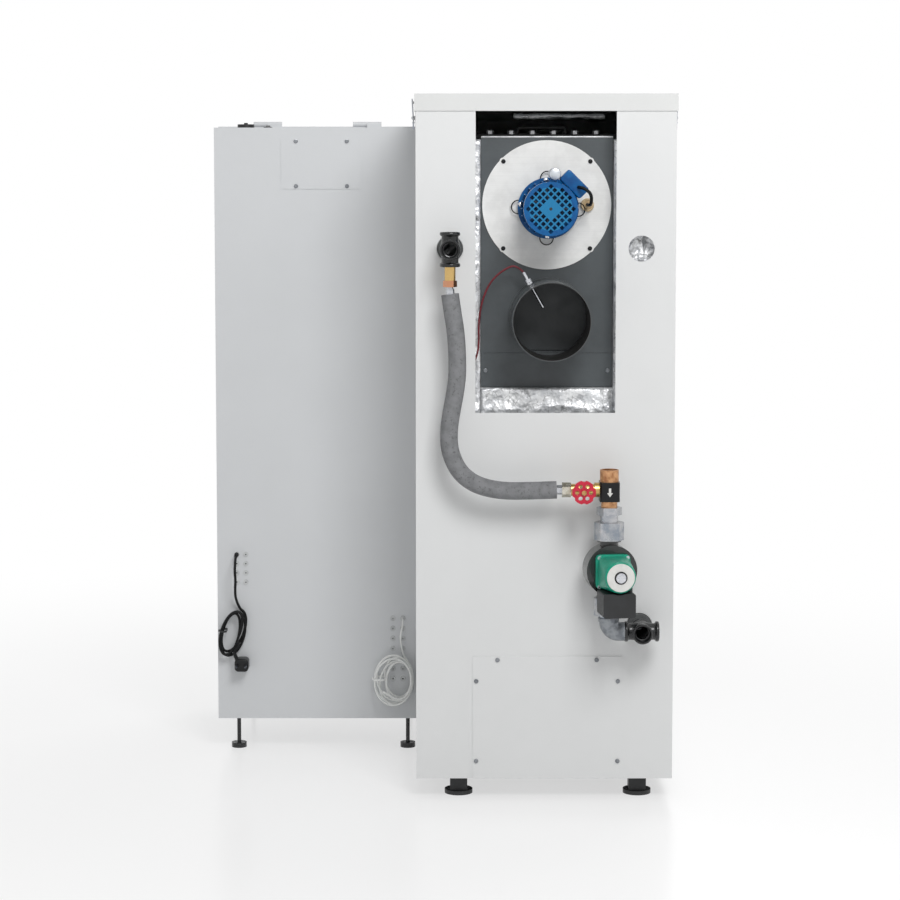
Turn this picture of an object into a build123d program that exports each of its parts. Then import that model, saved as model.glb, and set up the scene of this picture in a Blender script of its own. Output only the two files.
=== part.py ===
from build123d import *
import math
import os

# Pellet boiler in two cabinets: the boiler itself and a pellet hopper at its left.
# Sizes are in millimetres. The model is built about the boiler's rear face:
# X = 0 is the middle of the boiler, Y = 0 its rear face with +Y going inward,
# and Z = 0 the floor. The last step moves everything so that the origin is
# the middle of the whole footprint.

# Boiler cabinet
BODY_WIDTH = 500.0
BODY_DEPTH = 850.0
BODY_BOTTOM = 40.0
BODY_TOP = 1338.0
SHEET = 1.5
LID_HEIGHT = 33.0
LID_OVERHANG = 2.5
RETURN_FLANGE = 20.0

# Running clearances
FIT = 0.05
SOFT_GAP = 0.3
DOOR_GAP = 1.0

# Rear opening over the smoke box, and the round hole for a second flow pipe
OPENING_HALF = 135.0
OPENING_BOTTOM = 758.0
ROUND_HOLE_R = 25.0

# Base frame and feet
BASE_HEIGHT = 30.0
BASE_WALL = 3.0
RAIL_WIDTH = 40.0
POST_SIDE = 36.0
FEET_OFFSET = 9.0
FEET_SPACING = 352.0
FEET_FROM_EDGE = 50.0
FOOT_PAD_R = 27.5
FOOT_PAD_HEIGHT = 8.0
FOOT_STEM_SIDE = 34.0

# Screws of the sheet-metal covers
SCREW_HEAD_R = 4.3
SCREW_HEAD_HEIGHT = 2.6
SCREW_SHANK_R = 2.0
SCREW_LENGTH = 9.0
SCREW_HOLE_GAP = 0.1

# Lower rear access cover
ACCESS_OFFSET = 5.0
ACCESS_WIDTH = 290.0
ACCESS_TOP = 282.0
ACCESS_INSET = 7.0
ACCESS_TOP_SCREW_PITCH = 193.0
ACCESS_SIDE_SCREW_HIGH = 233.0
ACCESS_SIDE_SCREW_LOW = 75.0
ACCESS_LAP = 16.0

# Welded heat exchanger with its water jacket
VESSEL_HALF = 214.0
VESSEL_REAR = 135.0
VESSEL_FRONT = 790.0
VESSEL_BOTTOM = 150.0
VESSEL_TOP = 1288.0
VESSEL_WALL = 5.0
CHAMBER_HALF = 150.0
CHAMBER_REAR = 420.0
CHAMBER_BOTTOM = 165.0
CHAMBER_TOP = 760.0
RISER_REAR = 470.0
TURNING_HALF = 170.0
TURNING_REAR = 175.0
TURNING_FRONT = 745.0
TURNING_BOTTOM = 1130.0
COLLECTOR_FRONT = 400.0
COLLECTOR_BOTTOM = 790.0
COLLECTOR_TOP = 900.0
TUBE_R = 28.0
TUBE_COLUMNS = 4
TUBE_ROWS = 2
TUBE_PITCH = 84.0
GAS_PORT_HALF = 80.0
GAS_PORT_BOTTOM = 815.0
GAS_PORT_TOP = 860.0
NECK_FRONT = 846.0
DOOR_HOLE_HALF = 125.0
DOOR_HOLE_BOTTOM = 345.0
DOOR_HOLE_TOP = 745.0
DRAWER_HOLE_TOP = 310.0

# Tappings, G1 threads
TAPPING_X = 184.0
FLOW_Z = 1075.0
RETURN_Z = 342.0
STUB_R = 16.6
STUB_BORE_R = 13.5
BOSS_R = 24.5
BOSS_PROUD = 8.0
BOSS_INSIDE = 4.0
PIPE_PLANE = 58.0

# Black malleable crosses
CROSS_ARM = 33.0
CROSS_ARM_R = 18.0
CROSS_BEAD_R = 19.5
CROSS_BEAD = 6.0
PORT_R = 15.15
CROSS_BORE_R = 12.5
PORT_DEPTH = 18.0

# Top hatch over the turning chamber
HATCH_THICKNESS = 8.0
HATCH_LAP = 26.0
HATCH_NUTS = 6
HATCH_NUT_PITCH = 42.0
HATCH_NUT_FLATS = 13.0
HATCH_NUT_HEIGHT = 7.0
HATCH_HANDLE_WIDTH = 96.0
HATCH_HANDLE_HEIGHT = 18.0
HATCH_HANDLE_R = 3.5
HATCH_HANDLE_SETBACK = 60.0

# Turbulators in the flue tubes, hung from one lifting comb
BLADE_WIDTH = 40.0
BLADE_THICKNESS = 3.0
BLADE_DROP = 200.0
COMB_HEIGHT = 12.0
COMB_RISE = 0.3

# Insulation under the casing, with foil on its faces
INSULATION_REAR = 25.0
INSULATION_BOTTOM = 80.0
INSULATION_TOP = 1286.0
INSULATION_SIDE_GAP = 1.5

# Smoke box with the flue-gas fan
SMOKE_X = 4.0
SMOKE_HALF = 128.0
SMOKE_REAR = 55.0
SMOKE_BOTTOM = 804.0
SMOKE_TOP = 1288.0
SMOKE_WALL = 3.0
BAFFLE_DEPTH = 104.0
BAFFLE_EYE_R = 45.0
CLEANING_SEAM = 870.0
CLEANING_GAP = 0.5
CLEANING_SCREW_HALF = 119.0
CLEANING_SCREW_Z = 836.0
CLEANING_BOSS = 12.0
FLUE_X = 8.5
FLUE_Z = 939.0
FLUE_R = 75.0
FLUE_WALL = 2.0
FLUE_PROUD = 90.0
FLUE_BEAD_R = 78.0
FLUE_BEAD = 6.0
FLUE_COLLAR_R = 76.0
FLUE_COLLAR_REAR = 2.0

# Flue-gas probe and its silicone lead
PROBE_DEPTH = 15.0
PROBE_ANGLE = 119.5
PROBE_R = 3.0
PROBE_IN = 24.0
PROBE_OUT = 104.0
PROBE_NUT_R = 6.5
PROBE_NUT = 12.0
LEAD_R = 2.0
LEAD_POINTS = [
    (-60.6, 1042.6),
    (-76.3, 1036.0),
    (-93.0, 1024.0),
    (-106.9, 1008.5),
    (-117.0, 988.0),
    (-125.0, 962.0),
    (-129.0, 927.0),
    (-128.0, 889.0),
    (-133.0, 862.0),
    (-146.0, 842.0),
]

# Round fan plate and the fan motor
FAN_PLATE_X = 3.5
FAN_PLATE_Z = 1158.0
FAN_PLATE_R = 125.0
FAN_PLATE_THICKNESS = 3.0
FAN_SCREW_R = 119.0
FAN_LUG_R = 7.5
FAN_HOLE_R = 104.0
FAN_X = 6.0
FAN_Z = 1152.0
MOTOR_GAP = 6.0
MOTOR_FLANGE_R = 59.0
MOTOR_FLANGE = 8.0
MOTOR_BODY_R = 48.0
MOTOR_FIN_R = 54.0
MOTOR_FINS = 24
MOTOR_FIN_THICKNESS = 2.0
MOTOR_BODY = 84.0
MOTOR_BORE_R = 36.0
MOTOR_END_WALL = 6.0
SPACER_R = 5.0
SPACER_CIRCLE_R = 52.0
COWL_R = 51.0
COWL_WALL = 1.2
COWL_LENGTH = 38.0
GRILLE_HOLE = 7.0
GRILLE_PITCH = 10.0
GRILLE_REACH = 4
GRILLE_CENTRE = 1
SHAFT_R = 7.0
ROTOR_R = 33.0
ROTOR_LENGTH = 50.0
COOLING_BLADES = 7
COOLING_R = 42.0
COOLING_WIDTH = 16.0
IMPELLER_R = 85.0
IMPELLER_BLADES = 12
IMPELLER_WIDTH = 28.0
IMPELLER_PLATE = 2.5
IMPELLER_HUB_R = 16.0
BLADE_SHEET = 2.0

# Electrics on the fan motor
TERMINAL_ALONG = 55.0
TERMINAL_THICK = 27.0
TERMINAL_DEEP = 46.0
TERMINAL_ANGLE = 45.0
CAPACITOR_R = 12.0
CAPACITOR_LENGTH = 46.0
CAPACITOR_ANGLE = 82.0
MOTOR_LEAD_R = 3.2
BUSH_R = 13.0
BUSH_HEIGHT = 9.0
BUSH_OFFSET = 78.5

# Front casing, door, ash drawer and control unit
DOOR_HALF = 160.0
DOOR_BOTTOM = 326.0
DOOR_TOP = 764.0
DOOR_PLATE = 14.0
DOOR_PLUG_GAP = 3.0
DOOR_PLUG_DEPTH = 56.0
HINGE_PIN_R = 4.0
HINGE_KNUCKLE_R = 8.0
HINGE_KNUCKLE = 30.0
HINGE_FROM_END = 60.0
HINGE_SIDE = 12.0
HANDLE_BAR = 14.0
HANDLE_REACH = 34.0
HANDLE_LENGTH = 150.0
DRAWER_BOTTOM = 152.0
DRAWER_TOP = 320.0
DRAWER_WALL = 2.0
DRAWER_DEPTH = 400.0
DRAWER_SIDE_GAP = 3.0
DRAWER_FLOOR_GAP = 0.3
DRAWER_BOX_HEIGHT = 120.0
CONTROL_HALF = 95.0
CONTROL_BOTTOM = 1150.0
CONTROL_TOP = 1270.0
CONTROL_PROUD = 18.0
CONTROL_BACK = 30.0
CONTROL_LAP = 8.0
SCREEN_HALF = 66.0
SCREEN_INSET = 24.0
SCREEN_DEPTH = 2.0

# Burner and pellet feed
FEED_Y = 620.0
FEED_Z = 470.0
FEED_TUBE_R = 32.0
FEED_BORE_R = 27.0
FEED_SLEEVE_R = 33.0
BURNER_R = 66.0
BURNER_WALL = 5.0
BURNER_LENGTH = 200.0
BURNER_FLANGE_R = 80.0
BURNER_FLANGE = 6.0
SCREW_SHAFT_R = 8.0
SCREW_FLIGHT_R = 25.0
SCREW_PITCH = 45.0
SCREW_FLIGHT = 3.0

# Draw latches that hold the lid
LATCH_Y = 70.0
LATCH_WIDTH = 22.0
LATCH_PIVOT_Z = BODY_TOP - 12.0
LATCH_PIVOT_OUT = 5.0
LATCH_PIN_R = 1.5
LATCH_EAR = 2.0
LATCH_EAR_R = 3.8
LATCH_LEVER_WIDTH = 10.0
LATCH_LEVER_DROP = 22.0
LATCH_LEVER_R = 3.4
LATCH_LEVER_THICKNESS = 3.0
LATCH_BAIL_PIVOT_DROP = 9.0
LATCH_BAIL_WIRE_R = 1.25
LATCH_BAIL_TOP = BODY_TOP + 24.0
LATCH_HOOK_PROUD = 3.0
LATCH_HOOK_HEIGHT = 5.0
LATCH_HOOK_TOP = BODY_TOP + 20.0
LATCH_HOOK_WIDTH = 12.0
LATCH_BAR_GAP = 0.6
LATCH_PLATE_BOTTOM = BODY_TOP - 38.0

# Bypass hose between the flow cross and the gate valve
HOSE_CORE_R = 8.0
HOSE_FOAM_R = 17.0
HOSE_PIPE_R = 6.5
HOSE_TOP = 1000.0
FOAM_TOP = 990.0
HOSE_NUT_TOP = 1016.0
HOSE_NUT_BOTTOM = 1004.0
HOSE_NUT_FLATS = 23.0
NIPPLE_R = 10.5
NIPPLE_BUSH = 14.0
HOSE_END_X = 20.0
HOSE_POINTS = [
    (-180.0, 960.0),
    (-172.0, 912.0),
    (-169.2, 842.0),
    (-174.0, 803.0),
    (-181.2, 766.0),
    (-186.6, 729.0),
    (-185.0, 690.0),
    (-168.0, 652.0),
    (-142.4, 630.0),
    (-113.0, 619.0),
    (-76.5, 613.5),
    (-24.0, 614.5),
]

# Gate valve and mixing valve
VALVE_Z = 616.0
HOSE_HEX_END = 30.0
HOSE_HEX_FLATS = 16.0
VALVE_NUT_END = 47.0
VALVE_NUT_FLATS = 25.0
VALVE_BODY_END = 92.0
VALVE_BODY_R = 11.5
VALVE_BEAD_R = 14.0
VALVE_BORE_R = 7.0
BONNET_R = 9.0
BONNET_REACH = 34.0
STEM_R = 3.5
STEM_DEPTH = 20.0
WHEEL_X = 70.0
WHEEL_R = 22.5
WHEEL_LOBES = 6
WHEEL_THICKNESS = 9.0
WHEEL_HOLE_R = 4.0
WHEEL_NUT_R = 5.0
WHEEL_NUT = 3.0
PUMP_X = 120.5
MIXER_TOP = 655.0
MIXER_BOTTOM = 583.0
MIXER_TOP_R = 18.0
MIXER_NECK_R = 15.5
MIXER_BORE_R = 13.0
MIXER_BEAD = 9.0
COVER_TOP = 632.0
COVER_BOTTOM = 595.0
COVER_HALF = 19.0
COVER_DEEP_HALF = 22.0
COVER_GAP = 0.3

# Circulation pump with its union nuts
PUMP_Z = 464.0
PUMP_LENGTH = 130.0
PUMP_TURN = 8.0
PUMP_PORT_R = 23.5
PUMP_PORT = 12.0
PUMP_NECK_R = 18.0
PUMP_BORE_R = 13.0
VOLUTE_R = 49.0
VOLUTE_BACK = 24.0
VOLUTE_FRONT = 30.0
MOTOR_SQUARE = 66.0
MOTOR_SQUARE_THICKNESS = 12.0
PUMP_MOTOR_R = 34.0
PUMP_MOTOR_FACE = 110.0
PUMP_DISC_R = 25.5
PUMP_DISC = 2.0
VENT_R = 9.5
VENT_HEAD = 3.0
VENT_SHANK_R = 4.0
VENT_SHANK = 12.0
PUMP_BOX_HALF = 31.0
PUMP_BOX_HEIGHT = 46.0
PUMP_BOX_BACK = 40.0
PUMP_BOX_FRONT = 102.0
PUMP_GLAND_R = 5.5
PUMP_GLAND = 18.0
UNION_R = 28.5
UNION_ABOVE = 25.0
UNION_GRIP = 9.0
UNION_LIP = 8.0
TAIL_R = 17.0
TAIL_FLANGE_R = 23.0
TAIL_FLANGE = 4.0
TAIL_NUT_FLATS = 42.0
TAIL_NUT = 15.0
ELBOW_R = 18.0
ELBOW_BORE_R = 13.0
ELBOW_COLLAR_R = 20.0
ELBOW_COLLAR = 7.0
ELBOW_BEND = 27.0

# Hopper cabinet
HOPPER_WIDTH = 420.0
HOPPER_GAP = 4.0
HOPPER_SETBACK = 392.0
HOPPER_BOTTOM = 70.0
HOPPER_TOP = 1314.0
HOPPER_TOP_STRIP = 96.0
HOPPER_LID_RISE = 4.0
HOPPER_LID_SKIRT = 16.0
HOPPER_LID_GAP = 1.5
HOPPER_HINGE_R = 5.0
HOPPER_HINGE_PIN_R = 2.5
HOPPER_HINGE = 60.0
LEG_STEM_R = 4.2
LEG_PAD_R = 16.0
LEG_PAD_HEIGHT = 10.0
LEG_INSET_LEFT = 40.0
LEG_INSET_RIGHT = 20.0
LEG_INSET_REAR = 40.0
BIN_WALL = 2.0
BIN_SIDE_GAP = 9.0
BIN_SHOULDER = 820.0
BIN_THROAT_HALF_X = 110.0
BIN_THROAT_HALF_Y = 24.0
GEARBOX_LENGTH = 52.0
GEARBOX_HALF = 40.0
GEARMOTOR_R = 30.0
GEARMOTOR_LENGTH = 90.0

# Fittings on the hopper cabinet
PLATE_LEFT_INSET = 139.0
PLATE_WIDTH = 168.0
PLATE_HEIGHT = 105.0
PLATE_BOTTOM = 1187.0
PLATE_SCREW_INSET_X = 31.0
PLATE_SCREW_INSET_Z = 6.0
GROMMET_R = 5.75
GROMMET_NECK_R = 4.0
GROMMET_HOLE_R = 1.5
GROMMET_FLANGE = 1.5
LEFT_GROMMET_INSET = 41.0
LEFT_GROMMET_PITCH_X = 19.0
LEFT_GROMMET_PITCH_Z = 19.6
LEFT_GROMMET_ROWS = 4
LEFT_GROMMET_TOP = 420.0
RIGHT_GROMMET_INSET = 29.5
RIGHT_GROMMET_PITCH_X = 21.0
RIGHT_GROMMET_PITCH_Z = 21.5
RIGHT_GROMMET_ROWS = 7
RIGHT_GROMMET_TOP = 284.0
CAP_INSET_X = 64.0
CAP_INSET_Y = 34.0
CAP_R = 17.5
CAP_HEIGHT = 7.0
CAP_NUB_R = 4.0
CAP_NUB = 3.0
CAP_NECK_R = 11.0
CAP_NECK = 4.0
SWITCH_INSET_X = 110.0
SWITCH_HALF_X = 8.0
SWITCH_HALF_Y = 15.0
SWITCH_RIM = 2.0
SWITCH_RIM_HEIGHT = 2.0
SWITCH_DEPTH = 16.0
ROCKER_GAP = 0.4
ROCKER_THICKNESS = 5.0
ROCKER_TILT = 9.0
ROCKER_PIN_R = 1.5

# Mains lead, as it leaves the left grommet block and hangs in a tied hank
MAINS_R = 2.8
MAINS_EXIT_STEP = 21.0
MAINS_HANK_LONG = 54.0
MAINS_HANK_SHORT = 28.0
MAINS_HANK_BUNDLE = 20.0
MAINS_HANK_TILT = 17.0
MAINS_HANK_Z = 256.0
MAINS_HANK_INSET = 34.0
HANK_CLEAR = 0.3
MAINS_HANK_DEPTH = 34.0
PLUG_WIDTH = 29.0
PLUG_HEIGHT = 27.0
PLUG_DEPTH = 34.0
PLUG_PIN_R = 2.4
PLUG_PIN = 19.0
PLUG_PIN_PITCH = 19.0
PLUG_TOP = 203.0
PLUG_INSET = 52.0
PLUG_FILLET = 5.0
PLUG_NECK_R = 4.5
PLUG_NECK = 16.0
PLUG_NECK_LEAN = 22.0

# Sensor lead, as it leaves the right grommet block and hangs in a tied hank
SENSOR_R = 2.0
SENSOR_HANK_HALF = 43.5
SENSOR_HANK_HALF_Z = 56.0
SENSOR_HANK_HOLE = 21.0
SENSOR_HANK_HOLE_Z = 27.0
SENSOR_HANK_Z = 157.0
SENSOR_HANK_INSET = 48.5
SENSOR_HOLE_SHIFT = 12.0
SENSOR_HANK_DEPTH = 38.0

# Places that follow from the sizes above
BODY_HALF = BODY_WIDTH / 2
FRONT_Y = BODY_DEPTH
HOPPER_RIGHT = -BODY_HALF - HOPPER_GAP
HOPPER_LEFT = HOPPER_RIGHT - HOPPER_WIDTH
HOPPER_FRONT = FRONT_Y
HOPPER_MID_X = (HOPPER_LEFT + HOPPER_RIGHT) / 2
PIPE_Y = -PIPE_PLANE
LATCH_PROUD = LATCH_PIVOT_OUT + LATCH_EAR_R
FRONT_PROUD = DOOR_GAP + DOOR_PLATE + HANDLE_REACH
REAR_PROUD = PIPE_PLANE + PUMP_MOTOR_FACE + PUMP_DISC + VENT_HEAD
MOTOR_REAR = SMOKE_REAR - FAN_PLATE_THICKNESS - MOTOR_GAP
MOTOR_FACE = MOTOR_REAR - MOTOR_FLANGE - MOTOR_BODY
COWL_END = MOTOR_FACE - COWL_LENGTH
DOOR_BACK = FRONT_Y + DOOR_GAP
DOOR_FACE = DOOR_BACK + DOOR_PLATE
HINGE_X = -DOOR_HALF - HINGE_SIDE
HINGE_Y = DOOR_BACK + HINGE_KNUCKLE_R
TUBE_Y = (TURNING_REAR + COLLECTOR_FRONT) / 2
MIX_PORT_X = PUMP_X - COVER_HALF
SWITCH_X = HOPPER_LEFT + SWITCH_INSET_X
SWITCH_Y = HOPPER_SETBACK + CAP_INSET_Y
CAP_X = HOPPER_LEFT + CAP_INSET_X
CAP_Y = HOPPER_SETBACK + CAP_INSET_Y
FEED_END_X = -CHAMBER_HALF
FEED_START_X = HOPPER_LEFT + GEARBOX_LENGTH + SHEET + 2 * HOPPER_GAP
LID_HINGE_Y = HOPPER_SETBACK + HOPPER_TOP_STRIP
LID_HINGE_Z = HOPPER_TOP + HOPPER_LID_RISE + HOPPER_HINGE_R

TURNS = {"X": Rot(0, 90, 0), "Y": Rot(-90, 0, 0), "Z": Rot(0, 0, 0)}


def block(x, y, z):
    """Box between a low and a high limit on each axis."""
    spans = (x, y, z)
    middle = [(low + high) / 2 for low, high in spans]
    return Pos(*middle) * Box(*[high - low for low, high in spans])


def point(axis, across, along):
    """Point at a distance along an axis, and at across on the other two axes in order."""
    first, second = across
    if axis == "X":
        return (along, first, second)
    if axis == "Y":
        return (first, along, second)
    return (first, second, along)


def rod(axis, across, radius, span):
    """Round bar along an axis between the two ends of span."""
    low, high = span
    return Pos(*point(axis, across, (low + high) / 2)) * TURNS[axis] * Cylinder(radius, high - low)


def pipe(axis, across, radius, bore, span):
    """Round tube along an axis between the two ends of span."""
    return rod(axis, across, radius, span) - rod(axis, across, bore, span)


def hexagon(axis, across, flats, span):
    """Hexagonal bar along an axis, measured across its flats."""
    low, high = span
    face = RegularPolygon(flats / 2, 6, major_radius=False)
    return Pos(*point(axis, across, low)) * TURNS[axis] * extrude(face, high - low)


def polar(centre, radius, degrees):
    """Point on a circle in the X-Z plane, measured from +X towards +Z."""
    angle = math.radians(degrees)
    return (centre[0] + radius * math.cos(angle), centre[1] + radius * math.sin(angle))


def tangent_path(points, name):
    """Straight runs joined by arcs, each arc as large as its two runs allow."""
    corners = [Vector(*p) for p in points]
    radii = []
    for before, here, after in zip(corners, corners[1:], corners[2:]):
        turn = (here - before).get_angle(after - here)
        shorter = min((here - before).length, (after - here).length)
        radii.append(0.45 * shorter / math.tan(math.radians(turn / 2)))
    print(name, "arc radii", " ".join(f"{r:.0f}" for r in radii))
    return FilletPolyline(*corners, radius=radii)


def swept_tube(points, radius, name):
    """Round tube along a route of points, with its volume compared with section times length."""
    path = tangent_path(points, name)
    solid = sweep(Plane(path @ 0, z_dir=path % 0) * Circle(radius), path)
    wanted = math.pi * radius**2 * path.length
    print(name, f"length {path.length:.0f} mm, volume ratio {solid.volume / wanted:.5f}")
    return solid


def screw(axis, across, seat, outward):
    """Pan-head screw whose head sits on the plane at seat and points along outward."""
    head = rod(axis, across, SCREW_HEAD_R, sorted((seat, seat + outward * SCREW_HEAD_HEIGHT)))
    rim = head.edges().filter_by(GeomType.CIRCLE).sort_by(Axis((0, 0, 0), point(axis, (0, 0), outward)))[-1]
    head = fillet(rim, SCREW_HEAD_HEIGHT / 2)
    return head + rod(axis, across, SCREW_SHANK_R, sorted((seat, seat - outward * SCREW_LENGTH)))


def screw_holes(axis, places, span):
    """Clearance holes for screws at several places."""
    return [rod(axis, place, SCREW_SHANK_R + SCREW_HOLE_GAP, span) for place in places]


# Screw places, shared by the covers and the sheets that they close


def access_screw_places():
    """Two screws near the top edge of the lower rear cover and two down each side."""
    top = ACCESS_TOP - ACCESS_INSET
    side = ACCESS_WIDTH / 2 - ACCESS_INSET
    places = [(ACCESS_OFFSET + s * ACCESS_TOP_SCREW_PITCH / 2, top) for s in (-1, 1)]
    for z in (ACCESS_SIDE_SCREW_HIGH, ACCESS_SIDE_SCREW_LOW):
        places += [(ACCESS_OFFSET + s * side, z) for s in (-1, 1)]
    return places


def service_screw_places():
    """Four screws at the corners of the hopper's service plate."""
    left = HOPPER_LEFT + PLATE_LEFT_INSET
    columns = (left + PLATE_SCREW_INSET_X, left + PLATE_WIDTH - PLATE_SCREW_INSET_X)
    rows = (PLATE_BOTTOM + PLATE_SCREW_INSET_Z, PLATE_BOTTOM + PLATE_HEIGHT - PLATE_SCREW_INSET_Z)
    return [(x, z) for x in columns for z in rows]


def cleaning_screw_places():
    """Two screws of the smoke box's cleaning cover."""
    return [(SMOKE_X + s * CLEANING_SCREW_HALF, CLEANING_SCREW_Z) for s in (-1, 1)]


def fan_screw_places():
    """Four screws through the lugs of the fan plate."""
    return [polar((FAN_PLATE_X, FAN_PLATE_Z), FAN_SCREW_R, angle) for angle in (45, 135, 225, 315)]


def feet_places():
    """Middles of the boiler's four feet."""
    rows = (FEET_FROM_EDGE, FRONT_Y - FEET_FROM_EDGE)
    return [(FEET_OFFSET + s * FEET_SPACING / 2, y) for s in (-1, 1) for y in rows]


def leg_places():
    """Middles of the hopper's four legs."""
    columns = (HOPPER_LEFT + LEG_INSET_LEFT, HOPPER_RIGHT - LEG_INSET_RIGHT)
    rows = (HOPPER_SETBACK + LEG_INSET_REAR, HOPPER_FRONT - LEG_INSET_REAR)
    return [(x, y) for x in columns for y in rows]


def grommet_block(left, pitch_x, top, pitch_z, rows):
    """Middles of a block of two columns of grommets, from the top row down."""
    return [(left + c * pitch_x, top - r * pitch_z) for r in range(rows) for c in range(2)]


def left_grommets():
    left = HOPPER_LEFT + LEFT_GROMMET_INSET
    return grommet_block(left, LEFT_GROMMET_PITCH_X, LEFT_GROMMET_TOP, LEFT_GROMMET_PITCH_Z, LEFT_GROMMET_ROWS)


def right_grommets():
    left = HOPPER_RIGHT - RIGHT_GROMMET_INSET - RIGHT_GROMMET_PITCH_X
    return grommet_block(left, RIGHT_GROMMET_PITCH_X, RIGHT_GROMMET_TOP, RIGHT_GROMMET_PITCH_Z, RIGHT_GROMMET_ROWS)


def mains_exit():
    """The mains lead leaves the first grommet of the left block."""
    return left_grommets()[0]


def sensor_exit():
    """The sensor lead leaves the second grommet of the right block."""
    return right_grommets()[1]


# Boiler cabinet


def base_frame():
    """Ring of folded sheet with two rails, which carries the heat exchanger on four posts."""
    inner = BODY_HALF - SHEET
    z = (BODY_BOTTOM, BODY_BOTTOM + BASE_HEIGHT)
    ring = block((-inner, inner), (SHEET, FRONT_Y - SHEET), z)
    core = inner - BASE_WALL
    ring -= block((-core, core), (SHEET + BASE_WALL, FRONT_Y - SHEET - BASE_WALL), z)
    for s in (-1, 1):
        middle = FEET_OFFSET + s * FEET_SPACING / 2
        ring += block((middle - RAIL_WIDTH / 2, middle + RAIL_WIDTH / 2), (SHEET, FRONT_Y - SHEET), z)
        for y in (VESSEL_REAR + POST_SIDE, VESSEL_FRONT - POST_SIDE):
            half = POST_SIDE / 2
            ring += block((middle - half, middle + half), (y - half, y + half), (z[0], VESSEL_BOTTOM))
    return ring


def boiler_feet():
    """Four feet: a round pad under a square stem."""
    half = FOOT_STEM_SIDE / 2
    feet = []
    for x, y in feet_places():
        pad = rod("Z", (x, y), FOOT_PAD_R, (0, FOOT_PAD_HEIGHT))
        feet.append(pad + block((x - half, x + half), (y - half, y + half), (0, BODY_BOTTOM)))
    return feet


def latch_bracket(side):
    """Riveted plate on the casing with two ears and the lever's pin."""
    face = side * BODY_HALF
    half = LATCH_WIDTH / 2
    out = face + side * SHEET
    plate = block(
        sorted((face, out)), (LATCH_Y - half, LATCH_Y + half), (LATCH_PLATE_BOTTOM, BODY_TOP - LATCH_EAR)
    )
    pivot = (face + side * LATCH_PIVOT_OUT, LATCH_PIVOT_Z)
    inner = LATCH_LEVER_WIDTH / 2 + LATCH_BAR_GAP
    for y in (LATCH_Y - inner - LATCH_EAR, LATCH_Y + inner):
        ear = rod("Y", pivot, LATCH_EAR_R, (y, y + LATCH_EAR))
        ear += block(
            sorted((face, pivot[0])), (y, y + LATCH_EAR), (LATCH_PIVOT_Z - LATCH_EAR_R, LATCH_PIVOT_Z + LATCH_EAR_R)
        )
        plate += ear
    return plate + rod("Y", pivot, LATCH_PIN_R, (LATCH_Y - inner, LATCH_Y + inner))


def side_casing(side):
    """Side sheet with a flange along the top and the bracket of its draw latch."""
    outer = side * BODY_HALF
    inner = outer - side * SHEET
    flange = outer - side * RETURN_FLANGE
    y = (SHEET, FRONT_Y - SHEET)
    sheet = block(sorted((inner, outer)), y, (BODY_BOTTOM, BODY_TOP))
    sheet += block(sorted((flange, outer)), y, (BODY_TOP - SHEET, BODY_TOP))
    sheet += latch_bracket(side)
    if side < 0:
        sheet -= rod("X", (FEED_Y, FEED_Z), FEED_SLEEVE_R, (outer - SHEET, inner + SHEET))
    return sheet


def rear_casing():
    """Rear sheet, open above the smoke box, with holes for the pipes and the lower cover."""
    y = (0, SHEET)
    cut = (-SHEET, 2 * SHEET)
    sheet = block((-BODY_HALF, BODY_HALF), y, (BODY_BOTTOM, BODY_TOP))
    sheet -= block((-OPENING_HALF, OPENING_HALF), cut, (OPENING_BOTTOM, BODY_TOP + SHEET))
    sheet -= rod("Y", (TAPPING_X, FLOW_Z), ROUND_HOLE_R, cut)
    for place in ((-TAPPING_X, FLOW_Z), (TAPPING_X, RETURN_Z)):
        sheet -= rod("Y", place, BOSS_R + DOOR_GAP, cut)
    half = ACCESS_WIDTH / 2 - ACCESS_LAP
    low = BODY_BOTTOM + BASE_HEIGHT
    sheet -= block((ACCESS_OFFSET - half, ACCESS_OFFSET + half), cut, (low, ACCESS_TOP - ACCESS_LAP))
    for hole in screw_holes("Y", access_screw_places(), cut):
        sheet -= hole
    return sheet


def rear_access_cover():
    """Lapped sheet over the lower rear opening."""
    half = ACCESS_WIDTH / 2
    sheet = block((ACCESS_OFFSET - half, ACCESS_OFFSET + half), (-SHEET, 0), (BODY_BOTTOM, ACCESS_TOP))
    for hole in screw_holes("Y", access_screw_places(), (-2 * SHEET, SHEET)):
        sheet -= hole
    return sheet


def screws_and_nuts():
    """Pan-head screws of the covers and the fan plate, and the nuts of the top hatch."""
    screws = [screw("Y", place, -SHEET, -1) for place in access_screw_places()]
    screws += [screw("Y", place, HOPPER_SETBACK - SHEET, -1) for place in service_screw_places()]
    screws += [screw("Y", place, SMOKE_REAR, -1) for place in cleaning_screw_places()]
    screws += [screw("Y", place, SMOKE_REAR - FAN_PLATE_THICKNESS, -1) for place in fan_screw_places()]
    base = VESSEL_TOP + HATCH_THICKNESS
    span = (base, base + HATCH_NUT_HEIGHT)
    nuts = [hexagon("Z", place, HATCH_NUT_FLATS, span) for place in hatch_studs()]
    return screws + nuts


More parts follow.
